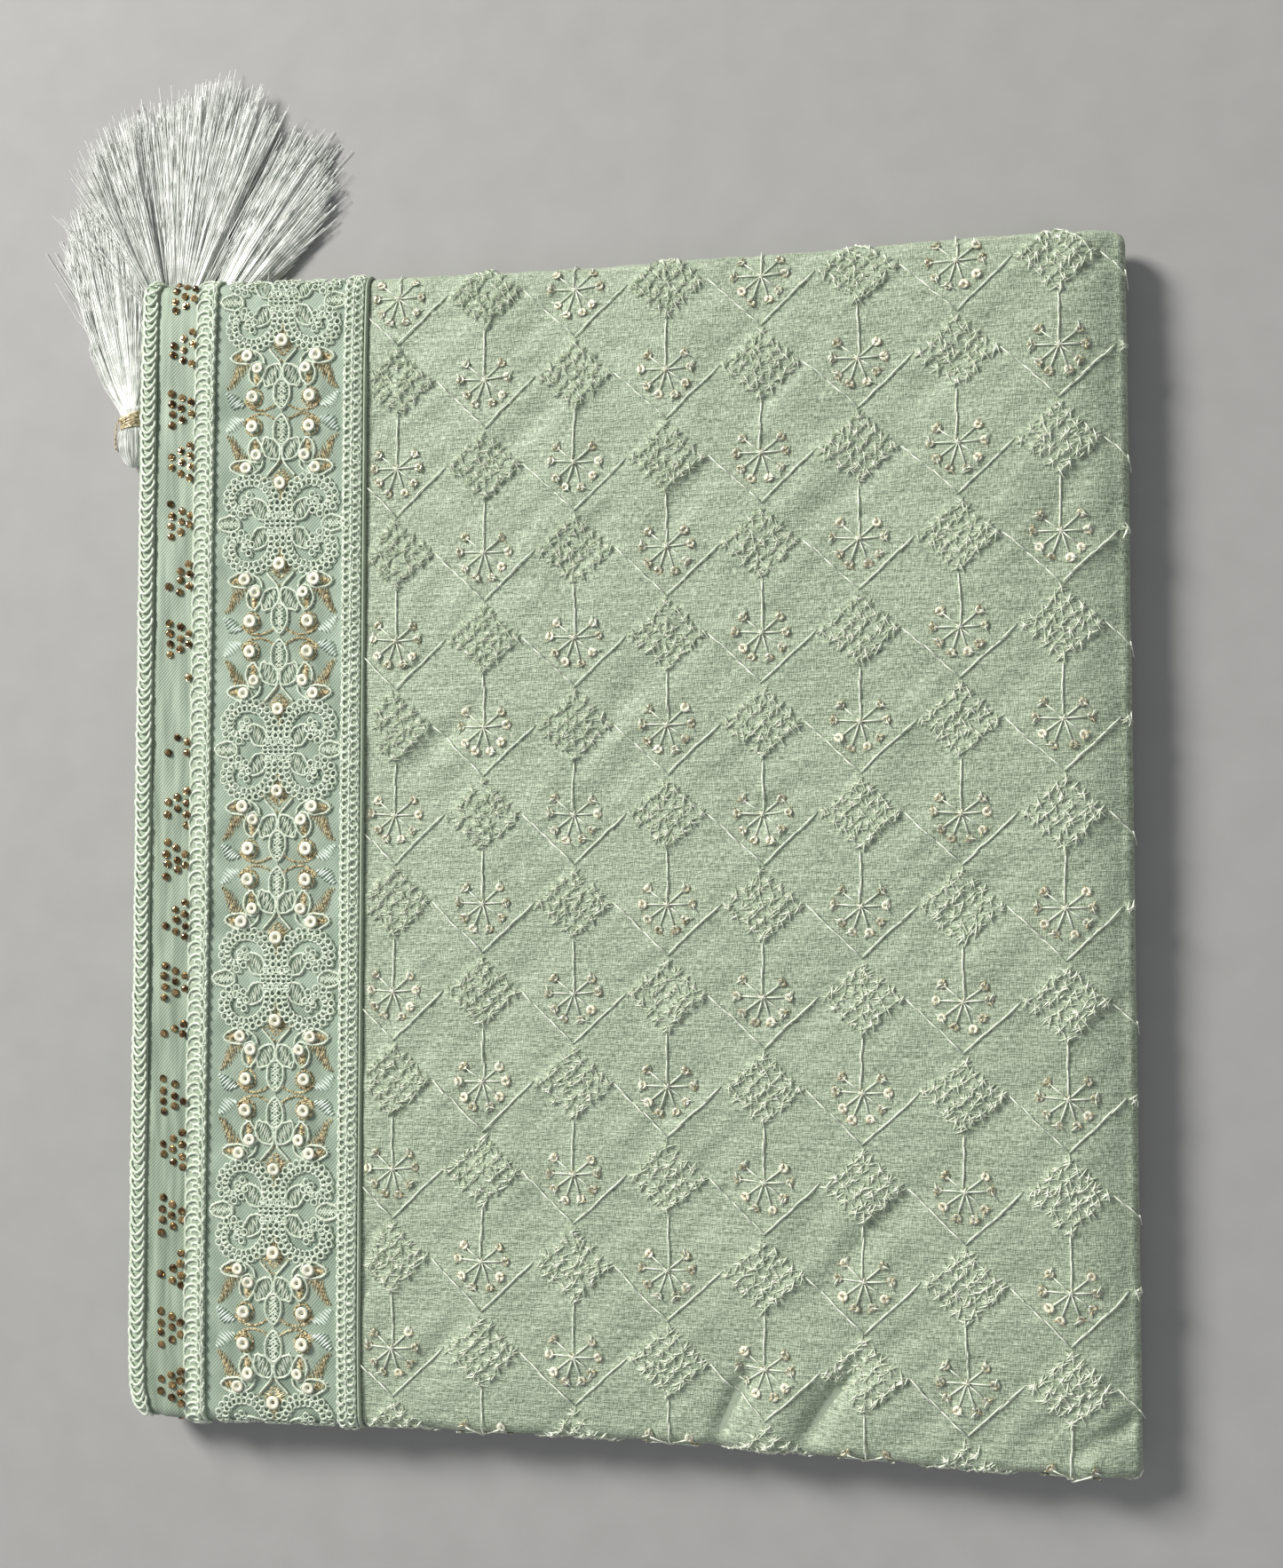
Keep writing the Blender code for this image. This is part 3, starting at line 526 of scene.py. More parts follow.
def pile_outline():
    """The pile's outline, anticlockwise: (place, outward direction, its sides and their shares)."""
    half_x, half_y = WIDTH / 2, LENGTH / 2
    found = []
    straights = (
        ("front", Vector((0, -1)), evenly(-half_x + CORNER, half_x - CORNER, OUTLINE_STEP)),
        ("right", Vector((1, 0)), evenly(-half_y + CORNER, half_y - CORNER, OUTLINE_STEP)),
        ("back", Vector((0, 1)), evenly(half_x - CORNER, -half_x + CORNER, -OUTLINE_STEP)),
        ("left", Vector((-1, 0)), evenly(half_y - CORNER, -half_y + CORNER, -OUTLINE_STEP)),
    )
    for number, (side, normal, values) in enumerate(straights):
        for value in values:
            point = Vector((value, normal.y * half_y)) if normal.y else Vector((normal.x * half_x, value))
            found.append((point, normal, {side: 1.0}))
        following, next_normal, _ = straights[(number + 1) % 4]
        middle = found[-1][0] - normal * CORNER
        for i in range(1, CORNER_STEPS):
            angle = math.radians(90) * i / CORNER_STEPS
            out = normal * math.cos(angle) + next_normal * math.sin(angle)
            shares = {side: 1 - i / CORNER_STEPS, following: i / CORNER_STEPS}
            found.append((middle + out * CORNER, out, shares))
    return found


def ring_faces(rings, count, first=0, closed=False, flip=False):
    """The faces between rings of count points each, from the point numbered first on."""
    faces = []
    for ring in range(rings if closed else rings - 1):
        near, far = first + ring * count, first + (ring + 1) % rings * count
        for i in range(count):
            j = (i + 1) % count
            round_ring = (near + i, near + j, far + j, far + i)
            faces.append((near + i, far + i, far + j, near + j) if flip else round_ring)
    return faces


def pile():
    """The pile as one closed mesh: its rings from the top down, a shallow crown and a flat foot."""
    outline = pile_outline()
    points = []
    for level in range(SIDE_LEVELS + 1):
        for point, out, sides in outline:
            top = stack_height(min(point.x, FLAT_SIDE), point.y)
            inset = height = 0.0
            for side, share in sides.items():
                one_inset, one_height = pile_side(side, level / SIDE_LEVELS, top, point)
                inset = max(inset, one_inset * min(1.0, 1.5 * share))
                height += share * one_height
            spot = point - out * inset
            points.append(laid_out(spot.x, spot.y, height))
    count = len(outline)
    faces = ring_faces(SIDE_LEVELS + 1, count, flip=True)
    inner = len(points)
    for share in CROWN_RINGS:
        for point, _, _ in outline:
            x, y = point.x * share, point.y * share
            points.append(laid_out(x, y, stack_height(x, y) - UNDER_GAP))
    faces += [(i, (i + 1) % count, inner + (i + 1) % count, inner + i) for i in range(count)]
    faces += ring_faces(len(CROWN_RINGS), count, first=inner)
    last = inner + (len(CROWN_RINGS) - 1) * count
    points.append(laid_out(0.0, 0.0, stack_height(0.0, 0.0) - UNDER_GAP))
    faces += [(last + i, last + (i + 1) % count, len(points) - 1) for i in range(count)]
    foot = SIDE_LEVELS * count
    points.append(Vector((0.0, 0.0, 0.0)))
    faces += [(foot + (i + 1) % count, foot + i, len(points) - 1) for i in range(count)]
    return points, faces


layer_silk = Finish("layer_silk", SILK_LIGHT, Roughness=0.6, Sheen_Weight=0.3)
layer_threads = layer_silk.cloudy((900, 900, 2600), cloth=False)
layer_mottle = layer_silk.cloudy((45, 45, 300), cloth=False, detail=3.0)
layer_share = (layer_threads * 0.4 + layer_mottle * 0.9 - 0.15).at_least(0.0).at_most(1.0)
layer_silk.set("Base Color", layer_silk.blend(layer_share, (0.260, 0.325, 0.225), (0.510, 0.590, 0.450)))
layer_silk.bumps(layer_threads + layer_silk.cloudy((300, 300, 3000), cloth=False) * 0.7, 0.0003, 0.6)
layers = meshed("folded_layers", *pile(), layer_silk)
corners = [(x, y, z) for x in POCKET[0] for y in POCKET[1] for z in POCKET[2]]
box_faces = [(0, 1, 3, 2), (4, 6, 7, 5), (0, 4, 5, 1), (2, 3, 7, 6), (0, 2, 6, 4), (1, 5, 7, 3)]
hollow = meshed("hollow", corners, box_faces, layer_silk)
cut = layers.modifiers.new("hollow", "BOOLEAN")
cut.operation = "DIFFERENCE"
cut.object = hollow
held = bpy.context.evaluated_depsgraph_get()
layers.data = bpy.data.meshes.new_from_object(layers.evaluated_get(held))
layers.modifiers.clear()
bpy.data.objects.remove(hollow)
handed_in(layers, "silk_cloth", "hidden_layers")

# How every stitch, sequin, stone and cord loop is sewn on
# One small form is made for each kind, and Geometry Nodes set it on each marked place of the
# cloth, turned and sized by the mark. Nothing of it stays an instance.
FEEL = 0.0004


def node_tree(name, output, **inputs):
    """A Geometry Nodes tree with named inputs, and its input and output nodes."""
    tree = bpy.data.node_groups.new(name, "GeometryNodeTree")
    for label, kind in inputs.items():
        tree.interface.new_socket(label, in_out="INPUT", socket_type="NodeSocket" + kind)
    tree.interface.new_socket(output, in_out="OUTPUT", socket_type="NodeSocketGeometry")
    return tree, tree.nodes.new("NodeGroupInput").outputs, tree.nodes.new("NodeGroupOutput").inputs


def sewing_nodes():
    """The node tree: a form on every mark, turned and sized by it, made real, in one finish."""
    inputs = {"Marks": "Geometry", "Form": "Object", "Finish": "Material"}
    tree, given, result = node_tree("sewn_on", "Sewn", **inputs)
    form = tree.nodes.new("GeometryNodeObjectInfo")
    turn, size = (tree.nodes.new("GeometryNodeInputNamedAttribute") for _ in range(2))
    for attribute, name in ((turn, "turn"), (size, "size")):
        attribute.data_type = "FLOAT_VECTOR"
        attribute.inputs["Name"].default_value = name
    rotation = tree.nodes.new("FunctionNodeEulerToRotation")
    on_marks = tree.nodes.new("GeometryNodeInstanceOnPoints")
    real = tree.nodes.new("GeometryNodeRealizeInstances")
    finish = tree.nodes.new("GeometryNodeSetMaterial")
    for source, socket in (
        (given["Marks"], on_marks.inputs["Points"]),
        (given["Form"], form.inputs["Object"]),
        (form.outputs["Geometry"], on_marks.inputs["Instance"]),
        (turn.outputs["Attribute"], rotation.inputs[0]),
        (rotation.outputs[0], on_marks.inputs["Rotation"]),
        (size.outputs["Attribute"], on_marks.inputs["Scale"]),
        (on_marks.outputs[0], real.inputs[0]),
        (real.outputs[0], finish.inputs["Geometry"]),
        (given["Finish"], finish.inputs["Material"]),
        (finish.outputs[0], result["Sewn"]),
    ):
        tree.links.new(source, socket)
    return tree


SEWN_ON = sewing_nodes()


def grown(piece, tree, finish, **values):
    """Runs a node tree on a piece and keeps what it makes as the piece's own mesh, in one finish."""
    steps = piece.modifiers.new(tree.name, "NODES")
    steps.node_group = tree
    values["Finish"] = finish.material
    for socket in tree.interface.items_tree:
        if socket.in_out == "INPUT" and socket.name in values:
            steps[socket.identifier] = values[socket.name]
    held = bpy.context.evaluated_depsgraph_get()
    made = bpy.data.meshes.new_from_object(piece.evaluated_get(held))
    piece.modifiers.clear()
    made.materials.clear()
    made.materials.append(finish.material)
    piece.data = made
    return made


def sewn(name, marks, form, finish, slot):
    """A piece that is one form at many marks; its form and marks are used up."""
    cloud = bpy.data.meshes.new(name)
    cloud.from_pydata([place for place, _, _ in marks], [], [])
    for attribute, part in (("turn", 1), ("size", 2)):
        values = cloud.attributes.new(attribute, "FLOAT_VECTOR", "POINT")
        values.data.foreach_set("vector", [value for mark in marks for value in mark[part]])
    piece = placed(name, cloud)
    made = grown(piece, SEWN_ON, finish, Form=form)
    for unused in ("turn", "size"):
        if unused in made.attributes:
            made.attributes.remove(made.attributes[unused])
    bpy.data.objects.remove(form)
    return handed_in(piece, slot)


def laid_mark(lay, across, along, heading, size):
    """One form's (place, turn, size) where lay puts it; heading is in radians from across."""
    here = lay(across, along)
    east = lay(across + FEEL, along) - here
    north = lay(across, along + FEEL) - here
    up = east.cross(north).normalized()
    run = (east * math.cos(heading) + north * math.sin(heading)).normalized()
    turn = Matrix((run, up.cross(run), up)).transposed().to_euler()
    return here, tuple(turn), size


def mark(across, along, heading, length, width, height=None, lift=0.0):
    """A mark on the cloth, lifted off it by a little."""

    def lay(x, y):
        return on_top(x, y, lift)

    return laid_mark(lay, across, along, heading, (length, width, height or width))


def jitter(most):
    """How far by chance a hand is out, either way."""
    return random.uniform(-1, 1) * most


def on_cloth(across, along, margin=0.0015):
    """Whether a place is on the top layer, clear of its hidden hems."""
    return EDGE_AT < across < LAST_ACROSS - margin and abs(along) < LAST_ALONG - margin


def form_of(points, faces):
    """A small form to be sewn on, as a mesh object."""
    mesh = bpy.data.meshes.new("form")
    mesh.from_pydata(points, [], faces)
    mesh.shade_smooth()
    return placed("form", mesh)


def around(ring_sides, radius, height, turned=0.0):
    """The points of one level ring round the origin."""
    points = []
    for i in range(ring_sides):
        angle = math.tau * (i + turned) / ring_sides
        points.append(Vector((radius * math.cos(angle), radius * math.sin(angle), height)))
    return points


def tube_along(path, radii, sides, closed=False):
    """Points and faces of a round thread along a path of vectors, pointed at both ends or closed."""
    points = []
    count = len(path)
    for i, here in enumerate(path):
        ahead = path[(i + 1) % count] if closed or i + 1 < count else here
        behind = path[i - 1] if closed or i else here
        run = (ahead - behind).normalized()
        side = run.cross(Vector((0, 0, 1))).normalized()
        up = side.cross(run)
        for k in range(sides):
            angle = math.tau * (k / sides + 0.25)
            points.append(here + (side * math.cos(angle) + up * math.sin(angle)) * radii[i])
    faces = ring_faces(count, sides, closed=closed)
    if not closed:
        faces.append(tuple(reversed(range(sides))))
        faces.append(tuple((count - 1) * sides + k for k in range(sides)))
    return points, faces


LONG_STITCH = ((-0.5, -0.35, 0.16), (-0.26, 0.32, 0.5), (0.26, 0.32, 0.5), (0.5, -0.35, 0.16))
SHORT_STITCH = ((-0.5, -0.35, 0.14), (0.0, 0.34, 0.5), (0.5, -0.35, 0.14))


def stitch_form(bends=LONG_STITCH, sides=3):
    """One stitch, 1 long and 1 thick: a plump thread that dips into the cloth at both ends."""
    path = [Vector((x, 0.0, z)) for x, z, _ in bends]
    made = form_of(*tube_along(path, [radius for _, _, radius in bends], sides))
    if sides == 3:
        made.data.shade_flat()
    return made


# The lattice: back-stitched lines, and lozenges filled with little stars
# Pale green floss. A lozenge is five rows of five stars, each seven crossing straight stitches.
# Lines in a lighter copy of the same floss, its extra lightness painted highlight, run from its sides
# down to the next lozenges, and from its foot to the spray below.
random.seed(11)
STAR_ROWS = (-2, -1, 0, 1, 2)
STAR_STEP_ACROSS, STAR_STEP_ALONG = 0.00292, 0.00265
STAR_REACH, STAR_WIDTH = 0.0042, 0.00064
STAR_TURNS = (-32, -10, 8, 26, 50, 84, 122)
LINE_STITCH, LINE_WIDTH = 0.0042, 0.00060

floss = Finish("pale_green_floss", (0.56, 0.66, 0.48), Roughness=0.42, Sheen_Weight=0.3)
floss.mottled(1000, (0.56, 0.66, 0.47), (1.0, 1.0, 0.90), start=0.30, gain=2.5, detail=1.0)
# Painted highlight: the lines' floss is a lighter copy of the pale floss, for the light the raised lines
# catch.
line_floss = Finish("line_floss_painted_highlight", (0.80, 0.88, 0.70), Roughness=0.42, Sheen_Weight=0.3)
line_floss.mottled(800, (0.74, 0.84, 0.62), (1.0, 1.0, 0.92), detail=1.0)


def line_marks(start, end):
    """Back stitches from one place to another, a little uneven."""
    (x0, y0), (x1, y1) = start, end
    reach = math.hypot(x1 - x0, y1 - y0)
    heading = math.atan2(y1 - y0, x1 - x0)
    count = max(2, round(reach / LINE_STITCH))
    found = []
    for i in range(count):
        share = (i + 0.5) / count
        across = x0 + (x1 - x0) * share + jitter(0.00024)
        along = y0 + (y1 - y0) * share + jitter(0.00018)
        if on_cloth(across, along) and across > BODY_SEAM + 0.004:
            turned = heading + random.uniform(-0.06, 0.06)
            length = reach / count * 1.35
            found.append(mark(across, along, turned, length, LINE_WIDTH, LINE_WIDTH * 0.70, 0.00030))
    return found


star_marks, line_stitches = [], []
for middle_across, middle_along in LOZENGES:
    for a in STAR_ROWS:
        for b in STAR_ROWS:
            across = middle_across + (a - b) * STAR_STEP_ACROSS + jitter(0.0006)
            along = middle_along + (a + b) * STAR_STEP_ALONG + jitter(0.0005)
            if not on_cloth(across, along, 0.003) or across < BODY_SEAM + 0.0055:
                continue
            spin = random.uniform(-0.3, 0.3)
            for arm, turn in enumerate(STAR_TURNS):
                heading = spin + math.radians(turn) + random.uniform(-0.3, 0.3)
                reach = STAR_REACH * random.uniform(0.66, 1.08)
                x = across + jitter(0.0009)
                y = along + jitter(0.0009)
                width = STAR_WIDTH * random.uniform(0.8, 1.2)
                star_marks.append(mark(x, y, heading, reach, width, lift=0.00012 + 0.00006 * arm))
    for side in (-1, 1):
        start = (middle_across + side * (LOZENGE_WIDE + 0.001), middle_along - 0.0004)
        end_along = middle_along - PITCH_ALONG + LOZENGE_TALL + 0.0015
        end = (middle_across + side * (PITCH_ACROSS - 0.0008), end_along)
        line_stitches += line_marks(start, end)
    start = (middle_across, middle_along - LOZENGE_TALL - 0.0005)
    end = (middle_across + jitter(0.0006), middle_along - PITCH_ALONG + 0.0014)
    line_stitches += line_marks(start, end)
sewn("lozenge_stars", star_marks, stitch_form(SHORT_STITCH), floss, "corded_thread")

# The sprays: eight stalks of floss round a knot, each ending in a small sequin
# The sequins are champagne, some of them milky white, held by two antique gold stitches.
SPRAY_ENDS = (
    # across, along, from the spray's middle
    (0.0065, 0.0053),
    (0.0085, 0.0004),
    (0.0065, -0.0052),
    (0.0029, -0.0085),
)
SPRAY_SEQUIN = 0.0033
BODY_WHITE_SHARE, PALE_CLAW_SHARE = 0.3, 0.3
STALK_MIDDLE, CLAW_OUT = 0.46, 0.0012

gold = Finish("antique_gold_thread", (0.42, 0.27, 0.12), Roughness=0.30, Metallic=0.15, Coat_Weight=0.3)
gold.mottled(1100, (0.20, 0.14, 0.055), (1.0, 0.87, 0.56), start=0.35, gain=4.0, detail=1.0)
cream = Finish("milky_sequin", (0.88, 0.84, 0.68), Roughness=0.35, Coat_Weight=0.3)
cream.mottled(160, (0.82, 0.79, 0.58), (0.97, 0.95, 0.80), detail=1.0)
champagne = Finish("champagne_sequin", (0.60, 0.58, 0.44), Roughness=0.28, Metallic=0.1, Coat_Weight=0.4)
champagne.mottled(1400, (0.30, 0.29, 0.17), (0.84, 0.85, 0.70), start=0.38, gain=4.0, detail=1.0)


def sequin_form(sides=14):
    """A cup sequin 1 across with a hole: a thin ring, turned up at its rim."""
    profile = ((0.13, 0.02), (0.13, 0.08), (0.31, 0.12), (0.50, 0.15), (0.47, 0.07), (0.31, 0.03))
    rings = [around(sides, radius, height) for radius, height in profile]
    points = [ring[i] for i in range(sides) for ring in rings]
    return form_of(points, ring_faces(sides, len(profile), closed=True, flip=True))


def tipped(one, most):
    """A mark leaned over a little, as a loosely held sequin is."""
    place, turn, size = one
    return place, tuple(value + random.uniform(-most, most) for value in turn), size


white_sequins, tan_sequins, gold_stitches, stalks = [], [], [], []
for middle_across, middle_along in lattice(0):
    if not on_cloth(middle_across, middle_along, 0.001) or middle_across < BODY_SEAM:
        continue
    for spin in range(5):
        heading = spin * 0.63 + random.uniform(-0.2, 0.2)
        knot = mark(middle_across, middle_along, heading, 0.0026, 0.00055, lift=0.0003 + 0.0001 * spin)
        (gold_stitches if spin % 2 else stalks).append(knot)
    for x, y in [(side * x, y) for x, y in SPRAY_ENDS for side in (-1, 1)]:
        x += jitter(0.0004)
        y += jitter(0.0004)
        heading = math.atan2(y, x)
        reach = math.hypot(x, y)
        across, along = middle_across + x, middle_along + y
        if not on_cloth(across, along, 0.0022) or across < BODY_SEAM + 0.005:
            continue
        place = (middle_across + x * STALK_MIDDLE, middle_along + y * STALK_MIDDLE)
        stalks.append(mark(*place, heading, reach * 0.76, 0.00056, lift=0.0002))
        size = SPRAY_SEQUIN * random.uniform(0.88, 1.04)
        sequin = tipped(mark(across, along, 0.0, size, size, size * 0.7, lift=0.0001), 0.2)
        (white_sequins if random.random() < BODY_WHITE_SHARE else tan_sequins).append(sequin)
        for off in (-1.2, 1.1):
            lean = heading + off + random.uniform(-0.2, 0.2)
            place = (across + CLAW_OUT * math.cos(lean), along + CLAW_OUT * math.sin(lean))
            claw = mark(*place, lean, 0.0024, 0.00046, lift=0.0006)
            (stalks if random.random() < PALE_CLAW_SHARE else gold_stitches).append(claw)
sewn("lattice_lines", line_stitches + stalks, stitch_form(sides=4), line_floss, "corded_thread")
sewn("champagne_sequins", tan_sequins, sequin_form(sides=10), champagne, "gold_thread")

# How cords and threads are drawn out
# Each is a path on the cloth that becomes a fine round cord, closed at both ends or run into
# itself where the path is a ring.


def cord_nodes():
    """The node tree: each drawn path becomes a round cord of one radius, in one finish."""
    inputs = {"Paths": "Geometry", "Finish": "Material", "Radius": "Float", "Sides": "Int"}
    tree, given, result = node_tree("drawn_cord", "Cords", **inputs)
    drawn = tree.nodes.new("GeometryNodeMeshToCurve")
    ring = tree.nodes.new("GeometryNodeCurvePrimitiveCircle")
    swept = tree.nodes.new("GeometryNodeCurveToMesh")
    swept.inputs["Fill Caps"].default_value = True
    finish = tree.nodes.new("GeometryNodeSetMaterial")
    for source, socket in (
        (given["Paths"], drawn.inputs["Mesh"]),
        (drawn.outputs["Curve"], swept.inputs["Curve"]),
        (given["Radius"], ring.inputs["Radius"]),
        (given["Sides"], ring.inputs["Resolution"]),
        (ring.outputs["Curve"], swept.inputs["Profile Curve"]),
        (swept.outputs["Mesh"], finish.inputs["Geometry"]),
        (given["Finish"], finish.inputs["Material"]),
        (finish.outputs["Geometry"], result["Cords"]),
    ):
        tree.links.new(source, socket)
    return tree


DRAWN_CORD = cord_nodes()


def drawn_out(name, paths, radius, sides, finish, slot, *nodes):
    """A piece of cords along paths of points; a path that ends where it starts becomes a ring."""
    points, edges = [], []
    for path in paths:
        first = len(points)
        ring = (path[0] - path[-1]).length < 1e-6
        points += path[:-1] if ring else path
        edges += [(i, i + 1) for i in range(first, len(points) - 1)]
        if ring:
            edges.append((len(points) - 1, first))
    lines = bpy.data.meshes.new(name)
    lines.from_pydata(points, edges, [])
    piece = placed(name, lines)
    grown(piece, DRAWN_CORD, finish, Radius=radius, Sides=sides).shade_smooth()
    return handed_in(piece, slot, *nodes)


# The medallions of the border band
# Scrolls of looped cord; petals with a fine core, a cord stitched over it and gold or pale floss
# inside; satin leaves in antique gold and pale aqua, gold cord spirals and milky sequins. Each
# motif is drawn as a quarter and mirrored both ways about its middle.
REPEAT, FIRST_MEDALLION, BAND_MIDDLE = 0.08045, 0.1938, -0.1183
MEDALLIONS, SHORTENED, SLACK = 6, 0.975, 0.00012
SCROLL_STEPS, SCROLL_PITCH, SCROLL_HALF = 120, 0.00215, 0.00118
PETAL_STEPS, PETAL_CORE, RIM_PITCH = 18, 0.00042, 0.00125
SPIRAL_STEPS, SPIRAL_PITCH = 54, 0.00105
PETALS = (
    # across, along, length, width, turn in degrees, what fills it
    (0.0080, 0.0054, 0.0094, 0.0064, 52, "floss"),
    (0.0203, 0.0000, 0.0088, 0.0060, 0, "floss"),
    (0.0152, 0.0206, 0.0096, 0.0060, 6, "gold"),
    (0.0099, 0.0270, 0.0094, 0.0060, 84, "gold"),
    (0.0038, 0.0278, 0.0094, 0.0064, 56, "floss"),
    (0.0000, 0.0346, 0.0110, 0.0066, 90, "floss"),
)
LOZENGE_MIDDLE, LOZENGE_ACROSS, LOZENGE_ALONG = 0.0157, 0.0044, 0.0048
GOLD_LEAF = ((0.0124, 0.0236), (0.0230, 0.0322), 0.0062)
AQUA_LEAF = ((0.0148, 0.0388), (0.0230, 0.0346), 0.0042)
SPIRAL_MIDDLE = (0.0111, 0.0357)
BIG_SEQUINS = (
    # across, along, size
    (0.0000, 0.0148, 0.0048),
    (0.0134, 0.0205, 0.0046),
    (0.0093, 0.0252, 0.0044),
    (0.0111, 0.0357, 0.0049),
)

cord = Finish("pale_mint_cord", (0.62, 0.72, 0.60), Roughness=0.5, Sheen_Weight=0.35)
cord.mottled(900, (0.52, 0.61, 0.47), (0.87, 0.94, 0.78), start=0.34, gain=3.2)
cord.bumps(cord.cloudy(5200, cloth=False, detail=1.0), 0.0002, 0.5)
aqua = Finish("aqua_floss", (0.60, 0.76, 0.70), Roughness=0.38, Sheen_Weight=0.3)
aqua.mottled(900, (0.76, 0.93, 0.80), (0.96, 1.0, 0.93))


def ring_form(sides=4, steps=9):
    """One ring of looped cord, 1 across, dipping where the next one passes over it."""
    path = []
    for i in range(steps):
        angle = math.tau * i / steps
        height = 0.15 + 0.09 * math.cos(2 * angle)
        path.append(Vector((0.38 * math.cos(angle), 0.38 * math.sin(angle), height)))
    return form_of(*tube_along(path, [0.115] * steps, sides, closed=True))


def scroll_path():
    """One scroll of a quarter medallion: it rises beside the middle, arches over and curls in."""
    path = []
    for i in range(SCROLL_STEPS):
        share = i / (SCROLL_STEPS - 1)
        angle = math.radians(-34 + 418 * share)
        radius = 0.0100 - 0.0073 * share**0.9
        across = 0.0113 + 0.0051 * share - radius * math.cos(angle) * 0.97
        path.append((across, 0.0086 + 0.0007 * share + radius * math.sin(angle) * 0.94))
    return path


def petal_path(across, along, length, width, turn):
    """A petal's closed outline, pointed at both ends and a little uneven."""
    path = []
    lean = math.radians(turn)
    for i in range(PETAL_STEPS):
        angle = math.tau * i / PETAL_STEPS
        x = length / 2 * math.cos(angle)
        y = width / 2 * math.sin(angle) * abs(math.sin(angle)) ** 0.3 * (1 - 0.16 * math.cos(angle))
        x += jitter(0.00028)
        y += jitter(0.00028)
        turned_along = along + x * math.sin(lean) + y * math.cos(lean)
        path.append((across + x * math.cos(lean) - y * math.sin(lean), turned_along))
    return path + path[:1]


def stepped(path, pitch):
    """Places a pitch apart along a path of (across, along), each with the path's heading there."""
    found, left = [], 0.0
    for (x0, y0), (x1, y1) in zip(path, path[1:]):
        reach = math.hypot(x1 - x0, y1 - y0)
        while reach > 0 and left <= reach:
            share = left / reach
            found.append((x0 + (x1 - x0) * share, y0 + (y1 - y0) * share, math.atan2(y1 - y0, x1 - x0)))
            left += pitch
        left -= reach
    return found


def twisted(path, pitch):
    """Stitch places of a thin twisted cord, as wide as they are apart."""
    return [(x, y, heading + 0.55, pitch * 1.7, pitch * 0.8) for x, y, heading in stepped(path, pitch)]


def satin_leaf(start, end, width, pitch, bow, plump):
    """Separate satin stitches side by side that fill a bowed leaf between two tips."""
    (x0, y0), (x1, y1) = start, end
    lean = math.atan2(y1 - y0, x1 - x0)
    reach = math.hypot(x1 - x0, y1 - y0)
    found = []
    for i in range(int(reach / pitch)):
        share = (i + 0.5) * pitch / reach
        belly = math.sin(math.pi * share**0.72)
        off = bow * math.sin(math.tau * share * 0.85)
        x = x0 + (x1 - x0) * share - math.sin(lean) * off
        y = y0 + (y1 - y0) * share + math.cos(lean) * off
        found.append((x, y, lean + math.radians(66), max(0.0012, width * belly), pitch * plump))
    return found


def petal_fill(petal, kind):
    """Slanting stitches that fill a petal; gold ones lie in its outer half, beside a sequin."""
    across, along, length, width, turn = petal
    lean = math.radians(turn)
    found = []
    for i in range(-3, 4):
        along_petal = i * 0.12 * length if kind == "floss" else (0.20 + i * 0.055) * length
        belly = width * 0.62 * (1 - (2 * along_petal / length) ** 2) ** 0.5
        x = across + along_petal * math.cos(lean)
        y = along + along_petal * math.sin(lean)
        found.append((x, y, lean + math.radians(48 + 12 * (i % 2)), belly, 0.00086))
    return found


quarter = {"loops": [], "gold": [], "aqua": [], "floss": [], "rim": []}
for number, (x, y, heading) in enumerate(stepped(scroll_path(), SCROLL_PITCH)):
    for row in (-1, 1):
        off = row * SCROLL_HALF + 0.0003
        at = (x - math.sin(heading) * off, y + math.cos(heading) * off)
        quarter["loops"].append((*at, heading + 0.35 * row, 0.0031, 0.0029 + 0.0003 * (number % 2)))
for across in (0.0010, 0.0030, 0.0050):
    quarter["loops"].append((across, 0.0008, math.pi / 2, 0.0021, 0.0028))
    quarter["loops"].append((across * 0.8, 0.0029, math.pi / 2, 0.0021, 0.0026))
quarter["loops"].append((0.0011, 0.0052, 0.2, 0.0026, 0.0030))
outlines = []
for *petal, kind in PETALS:
    outlines.append(petal_path(*petal))
    quarter["rim"] += twisted(outlines[-1], RIM_PITCH)
    filling = petal_fill(petal, kind)
    quarter[kind] += filling
    quarter["gold"] += [(x, y, turn - 0.9, size * 0.5, 0.00044) for x, y, turn, size, _ in filling[1::3]]
outlines.append([(0.0052, 0.0180), (0.0034, 0.0200), (0.0014, 0.0222), (0.0005, 0.0240), (0.0004, 0.0290)])
outlines.append([(0.0112, 0.0182), (0.0086, 0.0198), (0.0074, 0.0212), (0.0070, 0.0232)])
for i in range(16):
    rise = (i - 7.5) / 8
    reach = LOZENGE_ACROSS * (1 - abs(rise)) + 0.0004
    y = LOZENGE_MIDDLE + rise * LOZENGE_ALONG
    quarter["gold"].append((reach / 2, y + reach * 0.12, 0.30 + 0.22 * (i % 2), reach * 1.02, 0.00056))
quarter["gold"] += [(0.0004, 0.0096, math.pi / 2, 0.0038, 0.0011), (0.0009, 0.0106, 1.35, 0.0022, 0.0009)]
quarter["gold"] += satin_leaf(*GOLD_LEAF, 0.00100, -0.0012, 0.80)
quarter["aqua"] += satin_leaf(*AQUA_LEAF, 0.00105, 0.0008, 0.76)
spiral = []
for i in range(SPIRAL_STEPS):
    share = i / (SPIRAL_STEPS - 1)
    angle = math.radians(-250 - 450 * share)
    radius = 0.0025 + 0.0011 * share
    spiral.append((SPIRAL_MIDDLE[0] + radius * math.cos(angle), SPIRAL_MIDDLE[1] + radius * math.sin(angle)))
spiral += [(0.0142, 0.0380), (0.0124, 0.0396), (0.0100, 0.0405)]
spiral += [(0.0072, 0.0406), (0.0044, 0.0397), (0.0020, 0.0383)]
quarter["gold"] += twisted(spiral, SPIRAL_PITCH)
